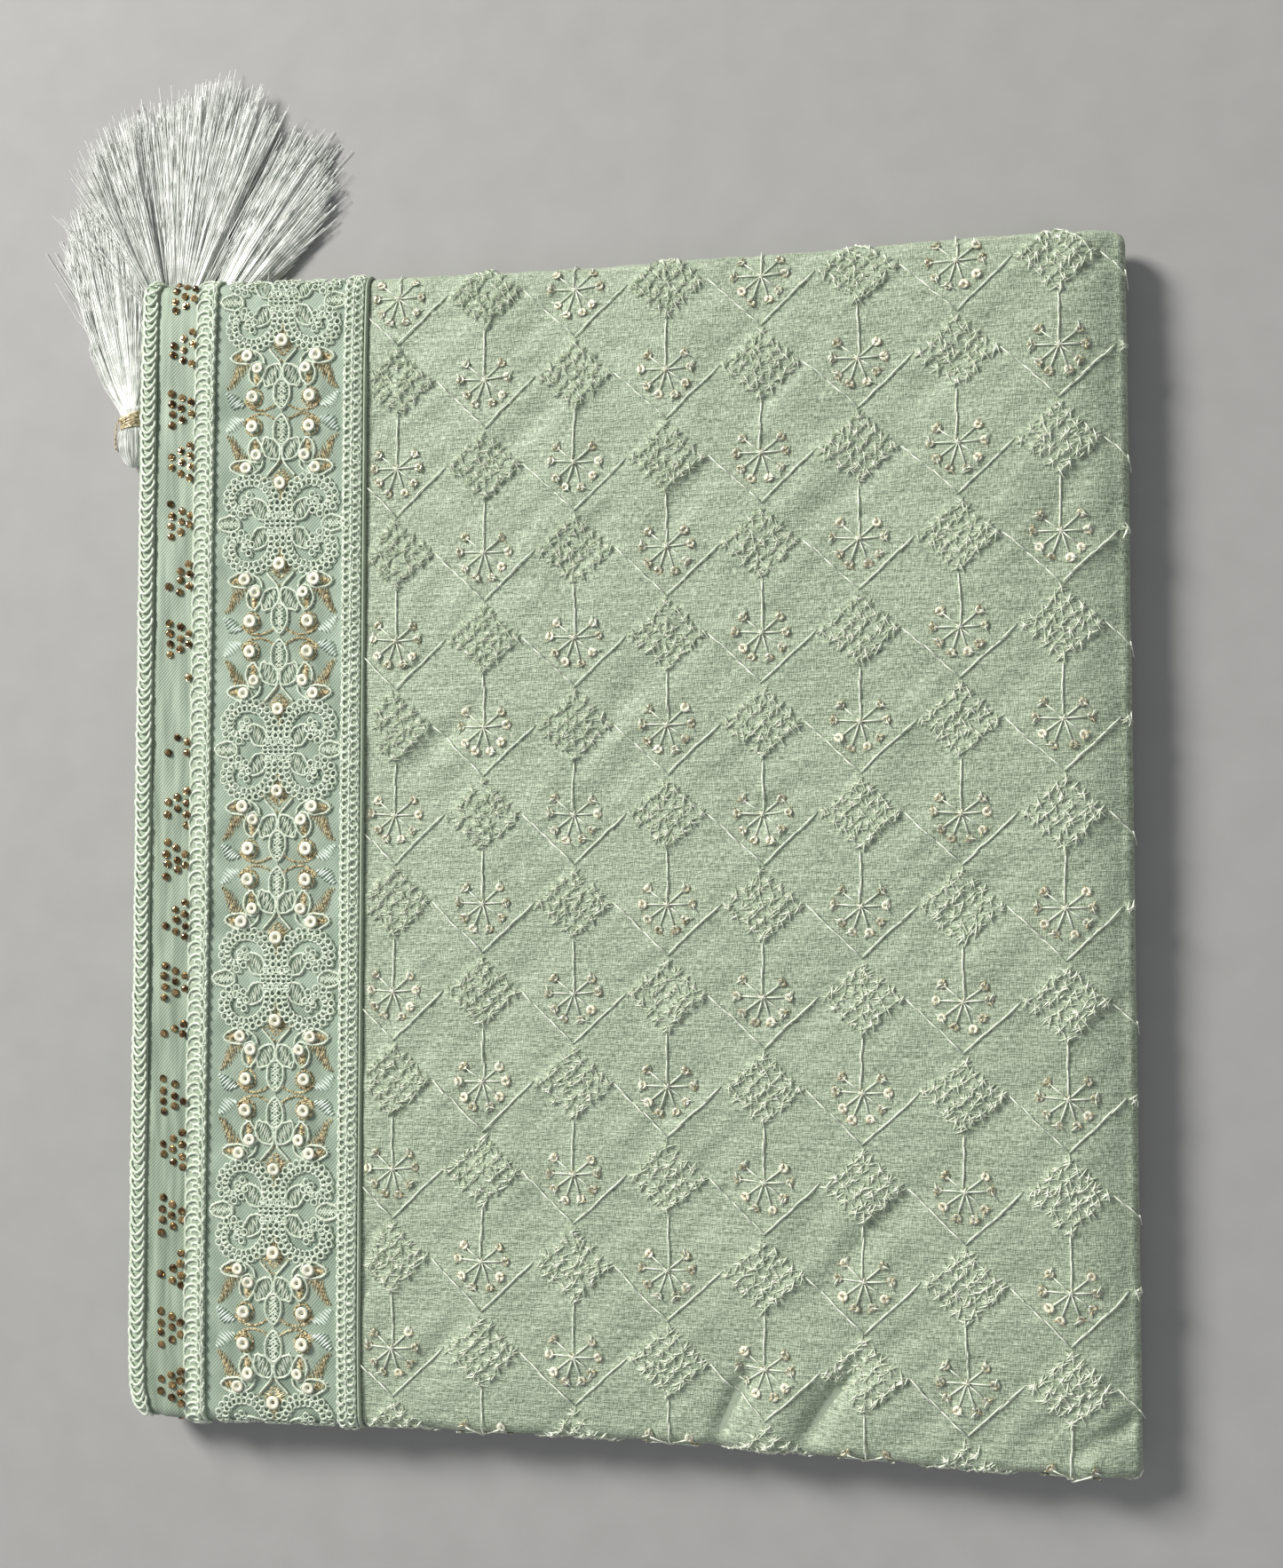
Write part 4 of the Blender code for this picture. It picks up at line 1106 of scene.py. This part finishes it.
dashes = [(0.0008, 0.0222), (0.0066, 0.0163)]
quarter["gold"] += [(x, y, heading, 0.0017, 0.0008) for x, y, heading in stepped(dashes, 0.0020)]

kinds = {kind: [] for kind in quarter}
outline_paths = []
for number in range(MEDALLIONS):
    middle = FIRST_MEDALLION - number * REPEAT
    for flip_x in (1, -1):
        for flip_y in (1, -1):
            for kind, stitches in quarter.items():
                for x, y, heading, length, width in stitches:
                    across = BAND_MIDDLE + flip_x * x + jitter(SLACK)
                    along = middle + flip_y * y * SHORTENED + jitter(SLACK)
                    if not on_cloth(across, along, 0.002):
                        continue
                    turned = math.atan2(flip_y * math.sin(heading), flip_x * math.cos(heading))
                    most = 0.2 if kind == "loops" else 0.12
                    turned += random.uniform(-most, most)
                    lift = 0.00040 if kind == "loops" else width * 0.30
                    height = width * (0.66 if kind == "loops" else 0.58)
                    kinds[kind].append(mark(across, along, turned, length, width, height, lift=lift))
            for number_of, outline in enumerate(outlines):
                if (number_of == 5 and flip_x < 0) or (number_of == 1 and flip_y < 0):
                    continue
                places = [(BAND_MIDDLE + flip_x * x, middle + flip_y * y * SHORTENED) for x, y in outline]
                if all(on_cloth(*place, 0.002) for place in places):
                    outline_paths.append([on_top(*place, PETAL_CORE) for place in places])
            for x, y, size in BIG_SEQUINS:
                if x == 0.0 and flip_x < 0:
                    continue
                across, along = BAND_MIDDLE + flip_x * x, middle + flip_y * y * SHORTENED
                if on_cloth(across, along, 0.003):
                    size *= random.uniform(0.94, 1.04)
                    one = mark(across, along, 0.0, size, size, size * 0.8, lift=0.0009)
                    white_sequins.append(tipped(one, 0.12))
                    heading = random.uniform(0, 3)
                    gold_stitches.append(mark(across, along, heading, 0.0019, 0.0005, lift=0.0008))
sewn("medallion_scrolls", kinds["loops"], ring_form(), cord, "corded_thread")
drawn_out("medallion_petals", outline_paths, PETAL_CORE, 5, cord, "corded_thread")
sewn("petal_cord", kinds["rim"], stitch_form(SHORT_STITCH), cord, "corded_thread")
sewn("medallion_floss", kinds["floss"], stitch_form(), cord, "corded_thread")
sewn("gold_embroidery", kinds["gold"] + gold_stitches, stitch_form(SHORT_STITCH), gold, "gold_thread")
sewn("aqua_leaves", kinds["aqua"], stitch_form(), aqua, "corded_thread")
sewn("milky_sequins", white_sequins, sequin_form(), cream, "gold_thread")

# The braids over the seams
# Pale mint cord on a thin cloth base, coloured dark as painted shade in the gaps between the cords. The
# outer one is a chain of links, each over the next. The middle one is two cords that loop on over
# each other and one along its edge. The inner one is two columns of chain rings between fine cords.
# Each runs right over the folds at both ends.
OUTER_BRAID, MIDDLE_BRAID, INNER_BRAID = (-0.1760, -0.1690), (-0.1533, -0.1447), (-0.0945, -0.0873)
BRAID_BASE = 0.0007
LOOP_RADIUS, EDGE_RADIUS = 0.00053, 0.00048
LINK_PITCH, LINK_LENGTH, LINK_WIDTH, LINK_HEIGHT = 0.0031, 0.0068, 0.0080, 0.0048
LOOP_PITCH, LOOP_BACK = 0.0041, 0.0021
RING_PITCH, RING_SIZE, RING_HEIGHT = 0.00275, 0.0037, 0.0040
BRAID_END = LAST_ALONG - 0.003
# Painted shade: the base strip under the cords is darker, as the shadow in the gaps between them.
braid_base_painted_shade = Finish("braid_base_painted_shade", (0.36, 0.45, 0.34), Roughness=0.7)
braid_base_painted_shade.mottled(800, (0.26, 0.33, 0.23), (0.50, 0.59, 0.45))


def base_strip(name, low, high, height, finish, arch=7):
    """A low arched strip along the whole edge, just above the panels, closed at both ends."""
    points = []
    profile = [(low, 0.0)]
    for i in range(arch):
        share = i / (arch - 1)
        profile.append((low + (high - low) * share, height * (0.5 + 0.5 * math.sin(math.pi * share))))
    profile.append((high, 0.0))
    count = len(profile)
    for along in FINE_ROWS:
        points += [folded(across, along, WALL + 0.0002 + rise) for across, rise in profile]
    faces = ring_faces(len(FINE_ROWS), count, flip=True)
    faces.append(tuple(range(count)))
    faces.append(tuple(len(points) - 1 - i for i in range(count)))
    return meshed(name, points, faces, finish)


def braid_mark(across, along, heading, length, width, height, lift):
    """A mark on a braid, whose base lies smooth over whatever the cloth below does."""

    def lay(x, y):
        return folded(x, y, WALL + lift)

    return laid_mark(lay, across, along, heading, (length, width, height))


def link_form(sides=5, steps=13):
    """One link of the chain, 1 long and 1 wide: its broad end tucked under, its narrow end on top."""
    path = []
    for i in range(steps):
        angle = math.tau * i / steps
        wide = 0.335 * math.sin(angle) * (1 - 0.30 * math.cos(angle))
        path.append(Vector((0.40 * math.cos(angle), wide, 0.15 + 0.11 * math.cos(angle))))
    return form_of(*tube_along(path, [0.080] * steps, sides, closed=True))


def serpentine(middle, sway, pitch, phase, lift):
    """A cord that winds from side to side along a braid, up over and down under its neighbours."""
    path = []
    wander = random.uniform(0, 50)
    for along in evenly(-BRAID_END, BRAID_END, pitch / 8):
        angle = math.tau * along / pitch + phase
        loose = noise.noise((along / 0.006, wander, 0.0))
        across = middle + sway * math.sin(angle) * (1 + 0.22 * loose)
        bent = along + 0.16 * pitch * math.sin(2 * angle) + 0.0005 * loose
        bent = max(-BRAID_END, min(BRAID_END, bent))
        path.append(folded(across, bent, WALL + lift + 0.0002 * math.sin(1.5 * angle + phase)))
    return path


def coiled(middle, wide, phase, hand):
    """A cord that loops on along a braid: round after round, each laid a pitch beyond the last."""
    path = []
    wander = random.uniform(0, 50)
    for start in evenly(-BRAID_END, BRAID_END, LOOP_PITCH / 12):
        angle = hand * math.tau * start / LOOP_PITCH + phase
        loose = noise.noise((start / 0.005, wander, 0.0))
        across = middle + wide * math.sin(angle) * (1 + 0.25 * loose)
        bent = start + LOOP_BACK * math.cos(angle) * (1 + 0.4 * loose)
        bent = max(-BRAID_END, min(BRAID_END, bent))
        path.append(folded(across, bent, WALL + 0.0008 + 0.0004 * math.sin(angle + 0.8)))
    return path


outer_base = base_strip("outer_braid_base", *OUTER_BRAID, BRAID_BASE, braid_base_painted_shade)
handed_in(outer_base, "corded_thread", "outer_braid")
chain_middle = sum(OUTER_BRAID) / 2 + 0.0002
links = []
for along in evenly(-BRAID_END + 0.003, BRAID_END - 0.003, LINK_PITCH):
    across = chain_middle + jitter(0.00025)
    y = along + jitter(0.0003)
    heading = math.radians(-90) + random.uniform(-0.12, 0.12)
    wide = LINK_WIDTH * random.uniform(0.93, 1.05)
    links.append(braid_mark(across, y, heading, LINK_LENGTH, wide, LINK_HEIGHT, 0.0003))
sewn("outer_braid_plait", links, link_form(), cord, "corded_thread")

middle_base = base_strip("middle_braid_base", *MIDDLE_BRAID, BRAID_BASE, braid_base_painted_shade)
handed_in(middle_base, "corded_thread", "middle_braid")
loop_middle = sum(MIDDLE_BRAID) / 2
winding = [
    coiled(loop_middle - 0.0009, 0.0028, 0.0, 1),
    coiled(loop_middle + 0.0012, 0.0022, math.pi, -1),
    serpentine(MIDDLE_BRAID[1] - 0.0006, 0.0005, LOOP_PITCH, 0.6, 0.0009),
]
drawn_out("middle_braid_cords", winding, LOOP_RADIUS, 5, cord, "corded_thread")

inner_base = base_strip("inner_braid_base", *INNER_BRAID, BRAID_BASE, braid_base_painted_shade)
handed_in(inner_base, "corded_thread", "inner_braid")
inner_rings = []
for column, across in enumerate((INNER_BRAID[0] + 0.0020, INNER_BRAID[1] - 0.0019)):
    for along in evenly(-BRAID_END, BRAID_END, RING_PITCH):
        y = along + column * 0.0013 + jitter(0.0004)
        size = RING_SIZE * random.uniform(0.86, 1.12)
        heading = math.pi / 2 + random.uniform(-0.4, 0.4)
        y = min(y, BRAID_END)
        ring = braid_mark(across, y, heading, size * 1.04, size * 0.92, RING_HEIGHT, 0.0006)
        inner_rings.append(ring)
sewn("inner_braid_rings", inner_rings, ring_form(), cord, "corded_thread")
edge_cords = [serpentine(INNER_BRAID[0] + 0.0005, 0.0003, 0.0031, 0.0, 0.0008)]
edge_cords.append(serpentine(sum(INNER_BRAID) / 2, 0.0004, 0.0034, 1.0, 0.0012))
edge_cords.append(serpentine(INNER_BRAID[1] - 0.0004, 0.0003, 0.0029, 2.0, 0.0008))
drawn_out("inner_braid_cords", edge_cords, EDGE_RADIUS, 5, cord, "corded_thread")

# The piping
# A thin roll of the body's silk beside the inner braid, and under it a painted shadow: a line of dark green
# stitches.
PIPING_AT, PIPING_HALF = -0.0862, 0.0006
PIPING = (PIPING_AT - PIPING_HALF, PIPING_AT + PIPING_HALF)
SHADOW_STITCH, SHADOW_WIDTH, SHADOW_PITCH = 0.0024, 0.00032, 0.0022
piping = base_strip("piping_roll", *PIPING, 2 * PIPING_HALF, layer_silk)
handed_in(piping, "silk_cloth", "piping")
# Painted shadow: near-black green stitches just beside the roll, where its shadow falls.
piping_shadow_thread = Finish("piping_painted_shadow", (0.06, 0.085, 0.05), Roughness=0.6)
piping_shadow_thread.mottled(500, (0.06, 0.085, 0.05), (0.17, 0.22, 0.14))
shadow_line_path = [(PIPING_AT + 0.00095, -LAST_ALONG + 0.002), (PIPING_AT + 0.00105, LAST_ALONG - 0.002)]
shadow_marks = [mark(*place, SHADOW_STITCH, SHADOW_WIDTH) for place in stepped(shadow_line_path, SHADOW_PITCH)]
sewn("piping_seam", shadow_marks, stitch_form(), piping_shadow_thread, "silk_cloth")

# The stones on the edging
# Faceted bronze stones, each in a little metal cup, in triangles that point left and right by
# turns. A few are missing, and those nearest the middle braid sit on its edge.
STONE_SIZE, STONE_STEP = 0.0029, 0.0039
CLUSTERS, CLUSTER_PITCH, CLUSTER_FIRST = 21, 0.0203, 0.1960
CLUSTER_MIDDLE, CLUSTER_SWING = -0.1582, 0.0042
BARE_CLUSTERS, BARE_KEEP, KEEP = (7, 8, 13), 0.35, 0.93
CLUSTER_ROWS = ((0.0, (-1.5, -0.5, 0.5, 1.5)), (1.0, (-1.0, 0.0, 1.0)), (2.0, (-0.5, 0.5)))
bronze = Finish("bronze_stone", (0.30, 0.17, 0.07), Roughness=0.13, Metallic=0.85, Coat_Weight=0.6)
bronze.mottled(300, (0.12, 0.060, 0.022), (0.62, 0.42, 0.20), start=0.35, gain=3.2, detail=0.0)


def stone_form(sides=8):
    """A round stone 1 across in its cup: a rim, a crown of facets and a flat table."""
    profile = ((0.44, -0.12), (0.50, 0.10), (0.47, 0.20), (0.40, 0.19), (0.30, 0.36), (0.16, 0.42))
    points = []
    for ring, (radius, height) in enumerate(profile):
        points += around(sides, radius, height, turned=0.5 * (ring % 2))
    faces = ring_faces(len(profile), sides)
    faces.append(tuple(len(points) - sides + i for i in range(sides)))
    faces.append(tuple(reversed(range(sides))))
    made = form_of(points, faces)
    made.data.shade_flat()
    return made


random.seed(23)
stone_marks = []
for number in range(CLUSTERS):
    middle = CLUSTER_FIRST - number * CLUSTER_PITCH + jitter(0.0015)
    pointing = 1 if number % 2 else -1
    keep = BARE_KEEP if number in BARE_CLUSTERS else KEEP
    for step, offsets in CLUSTER_ROWS:
        for offset in offsets:
            out = pointing * (1.0 - step) * CLUSTER_SWING
            across = CLUSTER_MIDDLE + out + jitter(0.0004)
            along = middle + offset * STONE_STEP + jitter(0.0004)
            if random.random() < keep and on_cloth(across, along, 0.002):
                size = STONE_SIZE * random.uniform(0.95, 1.05)
                lift = 0.0001 if across < MIDDLE_BRAID[0] - 0.0010 else 0.0012
                one = mark(across, along, random.uniform(0, 3), size, size, size, lift=lift)
                stone_marks.append(tipped(one, 0.10))
sewn("bronze_stones", stone_marks, stone_form(), bronze, "gold_thread")

# The tassels
# Floss silk in a near-white mint: fine threads that spread from a neck bound in gold. Each is a
# path of its own, gathered with others into wisps and locks, and a few stray. One end of the
# gold thread stands loose beside the left head.
FANS = {
    # tips of the leftmost, middle and rightmost threads
    "left": ((-0.2135, 0.2200), (-0.2095, 0.2480), (-0.1800, 0.2400)),
    "middle": ((-0.2120, 0.2670), (-0.1690, 0.2890), (-0.1285, 0.2785)),
    "right": ((-0.1255, 0.2705), (-0.1078, 0.2590), (-0.1140, 0.2310)),
}
TASSELS = {
    # where the threads leave the binding, the head's far end, how many threads, how thick they
    # lie, how far they bulge
    "left": ((-0.1880, 0.1668), (-0.1868, 0.1439), 1900, 0.0040, 0.0036),
    "middle": ((-0.1688, 0.1985), (-0.1680, 0.1795), 2900, 0.0066, 0.0008),
    "right": ((-0.1555, 0.1985), (-0.1550, 0.1795), 1900, 0.0036, 0.0020),
}
HEAD_HALF, HEAD_RISE, HEAD_MIDDLE = 0.0056, 0.0031, 0.0037
NECK_SHARE = 0.74
THREAD_RADIUS = 0.00014
THREAD_STEPS = 5
LOCKS, WISP_THREADS = 24, 8
LOCK_SLACK, WISP_SPREAD, THREAD_SPREAD, STRAY_SPREAD = 0.7, 0.085, 0.030, 0.30
SHORT_SHARE, STRAY_SHARE, LOOSE_SHARE = 0.93, 0.10, 0.06
TIGHT_SWAY, LOOSE_SWAY = 0.0016, 0.0110
HEAD_SIDES, HEAD_THREADS = 54, 64
WINDINGS, WINDING_STEPS, WINDING_SIDES, GOLD_RADIUS = 8, 30, 6, 0.00036
LOOSE_END = (
    # x, y, z
    (-0.1925, 0.1632, 0.0044),
    (-0.1950, 0.1605, 0.0026),
    (-0.1966, 0.1565, 0.0006),
    (-0.1964, 0.1520, 0.0005),
)

floss_white = Finish("white_mint_floss", (0.78, 0.83, 0.77), Roughness=0.42, Sheen_Weight=0.3)
floss_white.mottled(260, (0.62, 0.66, 0.60), (0.96, 0.97, 0.93), start=0.28, gain=2.5)


def tassel_paths(root, tail, tips, count, thick, bulge):
    """The threads' paths, each a list of points from inside the binding to its tip."""
    run = (Vector((*root, 0)) - Vector((*tail, 0))).normalized()
    side = Vector((run.y, -run.x, 0))
    first, middle_tip, last = (Vector((*tip, 0)) for tip in tips)
    bend = (first + last) / 2 - middle_tip
    paths, locks, wisps = [], [], []
    for i in range(LOCKS):
        lock_u = (2 * i + 1) / LOCKS - 1 + jitter(LOCK_SLACK) / LOCKS
        lock_v, slip = random.uniform(-1, 1), random.uniform(-0.4, 0.4)
        locks.append((lock_u, lock_v, slip, random.triangular(0.86, 1.03, 0.99)))
    for i in range(count // WISP_THREADS):
        lock_u, lock_v, slip, lock_length = locks[i % LOCKS]
        wisp_length = lock_length * random.triangular(0.80, 1.03, 0.98)
        wisp_u = lock_u + random.gauss(0, WISP_SPREAD)
        wisps.append((wisp_u, lock_v + random.gauss(0, 0.3), slip, wisp_length))
    for number in range(count):
        wisp_u, wisp_v, slip, wisp_length = wisps[number % len(wisps)]
        u = wisp_u + random.gauss(0, THREAD_SPREAD)
        v = max(-1.0, min(1.0, wisp_v + random.gauss(0, 0.2)))
        short = random.random() < SHORT_SHARE
        length = wisp_length * (random.uniform(0.90, 1.01) if short else random.uniform(1.01, 1.05))
        if random.random() < STRAY_SHARE:
            u += random.gauss(0, STRAY_SPREAD)
        u = max(-1.25, min(1.25, u))
        u_in = max(-1.0, min(1.0, u + slip * (1 - abs(u))))
        room = math.sqrt(max(0.05, 1 - (0.8 * v) ** 2))
        start = Vector((*root, HEAD_MIDDLE)) - run * 0.0030
        start += side * u_in * HEAD_HALF * 0.66 * room + Vector((0, 0, v * HEAD_RISE * 0.62))
        tip = middle_tip + (last - first) / 2 * u + bend * abs(u) ** 3.4
        tip = start.xy.to_3d() + (tip - start.xy.to_3d()) * length
        tip.z = 0.0004 + thick * (v + 1) / 2 * random.uniform(0.5, 1.0)
        knee = start.lerp(tip, 0.42) + side * u_in * bulge
        knee.z = (start.z + tip.z) / 2 + 0.0016 * (v + 0.4)
        sway = random.uniform(-1, 1)
        sway *= LOOSE_SWAY if random.random() < LOOSE_SHARE else TIGHT_SWAY
        path = []
        for i in range(THREAD_STEPS):
            w = i / (THREAD_STEPS - 1)
            point = start * (1 - w) ** 2 + knee * 2 * w * (1 - w) + tip * w * w
            crimp = noise.noise((number * 0.37, w * 4.0, wisp_u)) * 0.0018 * w * w
            wave = noise.noise((wisp_u * 40, w * 1.6, 3.0)) * 0.0040 * w * w
            point += side * (sway * math.sin(math.pi * w * 1.6) * w + crimp + wave)
            point.z = max(0.0003, point.z)
            path.append(point)
        paths.append(path)
    return paths


HEAD_SHAPE = (
    # how far along from the root, and how large its section is there
    (0.0, 0.90),
    (0.06, 0.86),
    (0.13, NECK_SHARE),
    (0.34, NECK_SHARE),
    (0.41, 0.93),
    (0.50, 1.0),
    (0.62, 1.0),
    (0.74, 0.93),
    (0.84, 0.78),
    (0.92, 0.56),
    (0.97, 0.34),
    (1.0, 0.10),
)


def head_rings(root, tail, sides, slip=0.0):
    """Rings of points along one tassel's looped-over head and neck, ridged along its length."""
    start, end = Vector((*root, HEAD_MIDDLE)), Vector((*tail, HEAD_MIDDLE))
    run = (end - start).normalized()
    side = Vector((-run.y, run.x, 0))
    rings = []
    for share, size in HEAD_SHAPE:
        ring = []
        for i in range(sides):
            angle = math.tau * i / sides + slip * share
            ridge = 1 + 0.035 * math.cos(18 * angle + 2 * share) + 0.02 * math.cos(7 * angle)
            out = side * HEAD_HALF * math.cos(angle) + Vector((0, 0, HEAD_RISE * math.sin(angle)))
            ring.append(start.lerp(end, share) + out * size * ridge)
        rings.append(ring)
    return rings


def head_threads(root, tail):
    """Loose threads that lie along the head, a little apart from each other."""
    rings = head_rings(root, tail, HEAD_THREADS, slip=0.25)
    paths = []
    for i in range(HEAD_THREADS):
        path = [ring[i] + Vector((0, 0, 0.00006 * (i % 3))) for ring in rings[3:]]
        loose = jitter(0.0003)
        paths.append([point + Vector((loose * k / 8, 0, 0)) for k, point in enumerate(path)])
    return paths


def tassel_head(root, tail):
    """The head and neck as one closed knob of floss."""
    rings = head_rings(root, tail, HEAD_SIDES)
    points = [point for ring in rings for point in ring]
    faces = ring_faces(len(rings), HEAD_SIDES)
    faces.append(tuple(reversed(range(HEAD_SIDES))))
    faces.append(tuple(len(points) - HEAD_SIDES + i for i in range(HEAD_SIDES)))
    return points, [tuple(reversed(face)) for face in faces]


def wound_binding(root, tail):
    """Gold thread wound round the neck: rings side by side, each a little slanted."""
    start, end = Vector((*root, HEAD_MIDDLE)), Vector((*tail, HEAD_MIDDLE))
    run = (end - start).normalized()
    side = Vector((-run.y, run.x, 0))
    wide, tall = (half * NECK_SHARE + 0.00050 for half in (HEAD_HALF, HEAD_RISE))
    points, faces = [], []
    for turn in range(WINDINGS):
        middle = start.lerp(end, 0.125 + 0.205 * turn / (WINDINGS - 1))
        path = []
        for i in range(WINDING_STEPS):
            angle = math.tau * i / WINDING_STEPS
            slant = run * (0.00045 * math.sin(angle + turn) - 0.0010 * math.cos(angle))
            out = side * wide * math.cos(angle) + Vector((0, 0, tall * math.sin(angle)))
            path.append(middle + out + slant)
        faces += ring_faces(WINDING_STEPS, WINDING_SIDES, first=len(points), closed=True)
        for i, here in enumerate(path):
            ahead, behind = path[(i + 1) % WINDING_STEPS], path[i - 1]
            out = (ahead - behind).normalized().cross(run)
            for k in range(WINDING_SIDES):
                angle = math.tau * k / WINDING_SIDES
                points.append(here + (out * math.cos(angle) + run * math.sin(angle)) * GOLD_RADIUS)
    return points, faces


random.seed(5)
for which, (root, tail, *spread) in TASSELS.items():
    paths = tassel_paths(root, tail, FANS[which], *spread) + head_threads(root, tail)
    drawn_out("floss_" + which, paths, THREAD_RADIUS, 3, floss_white, "tassel_silk", "tassel_" + which)
    handed_in(meshed("head_" + which, *tassel_head(root, tail), floss_white), "tassel_silk")
    winding = meshed("wound_gold_" + which, *wound_binding(root, tail), gold)
    handed_in(winding, "gold_thread", "binding_" + which)
loose_path = [Vector(point) for point in LOOSE_END]
drawn_out("loose_gold_end", [loose_path], 0.0003, 5, gold, "gold_thread")
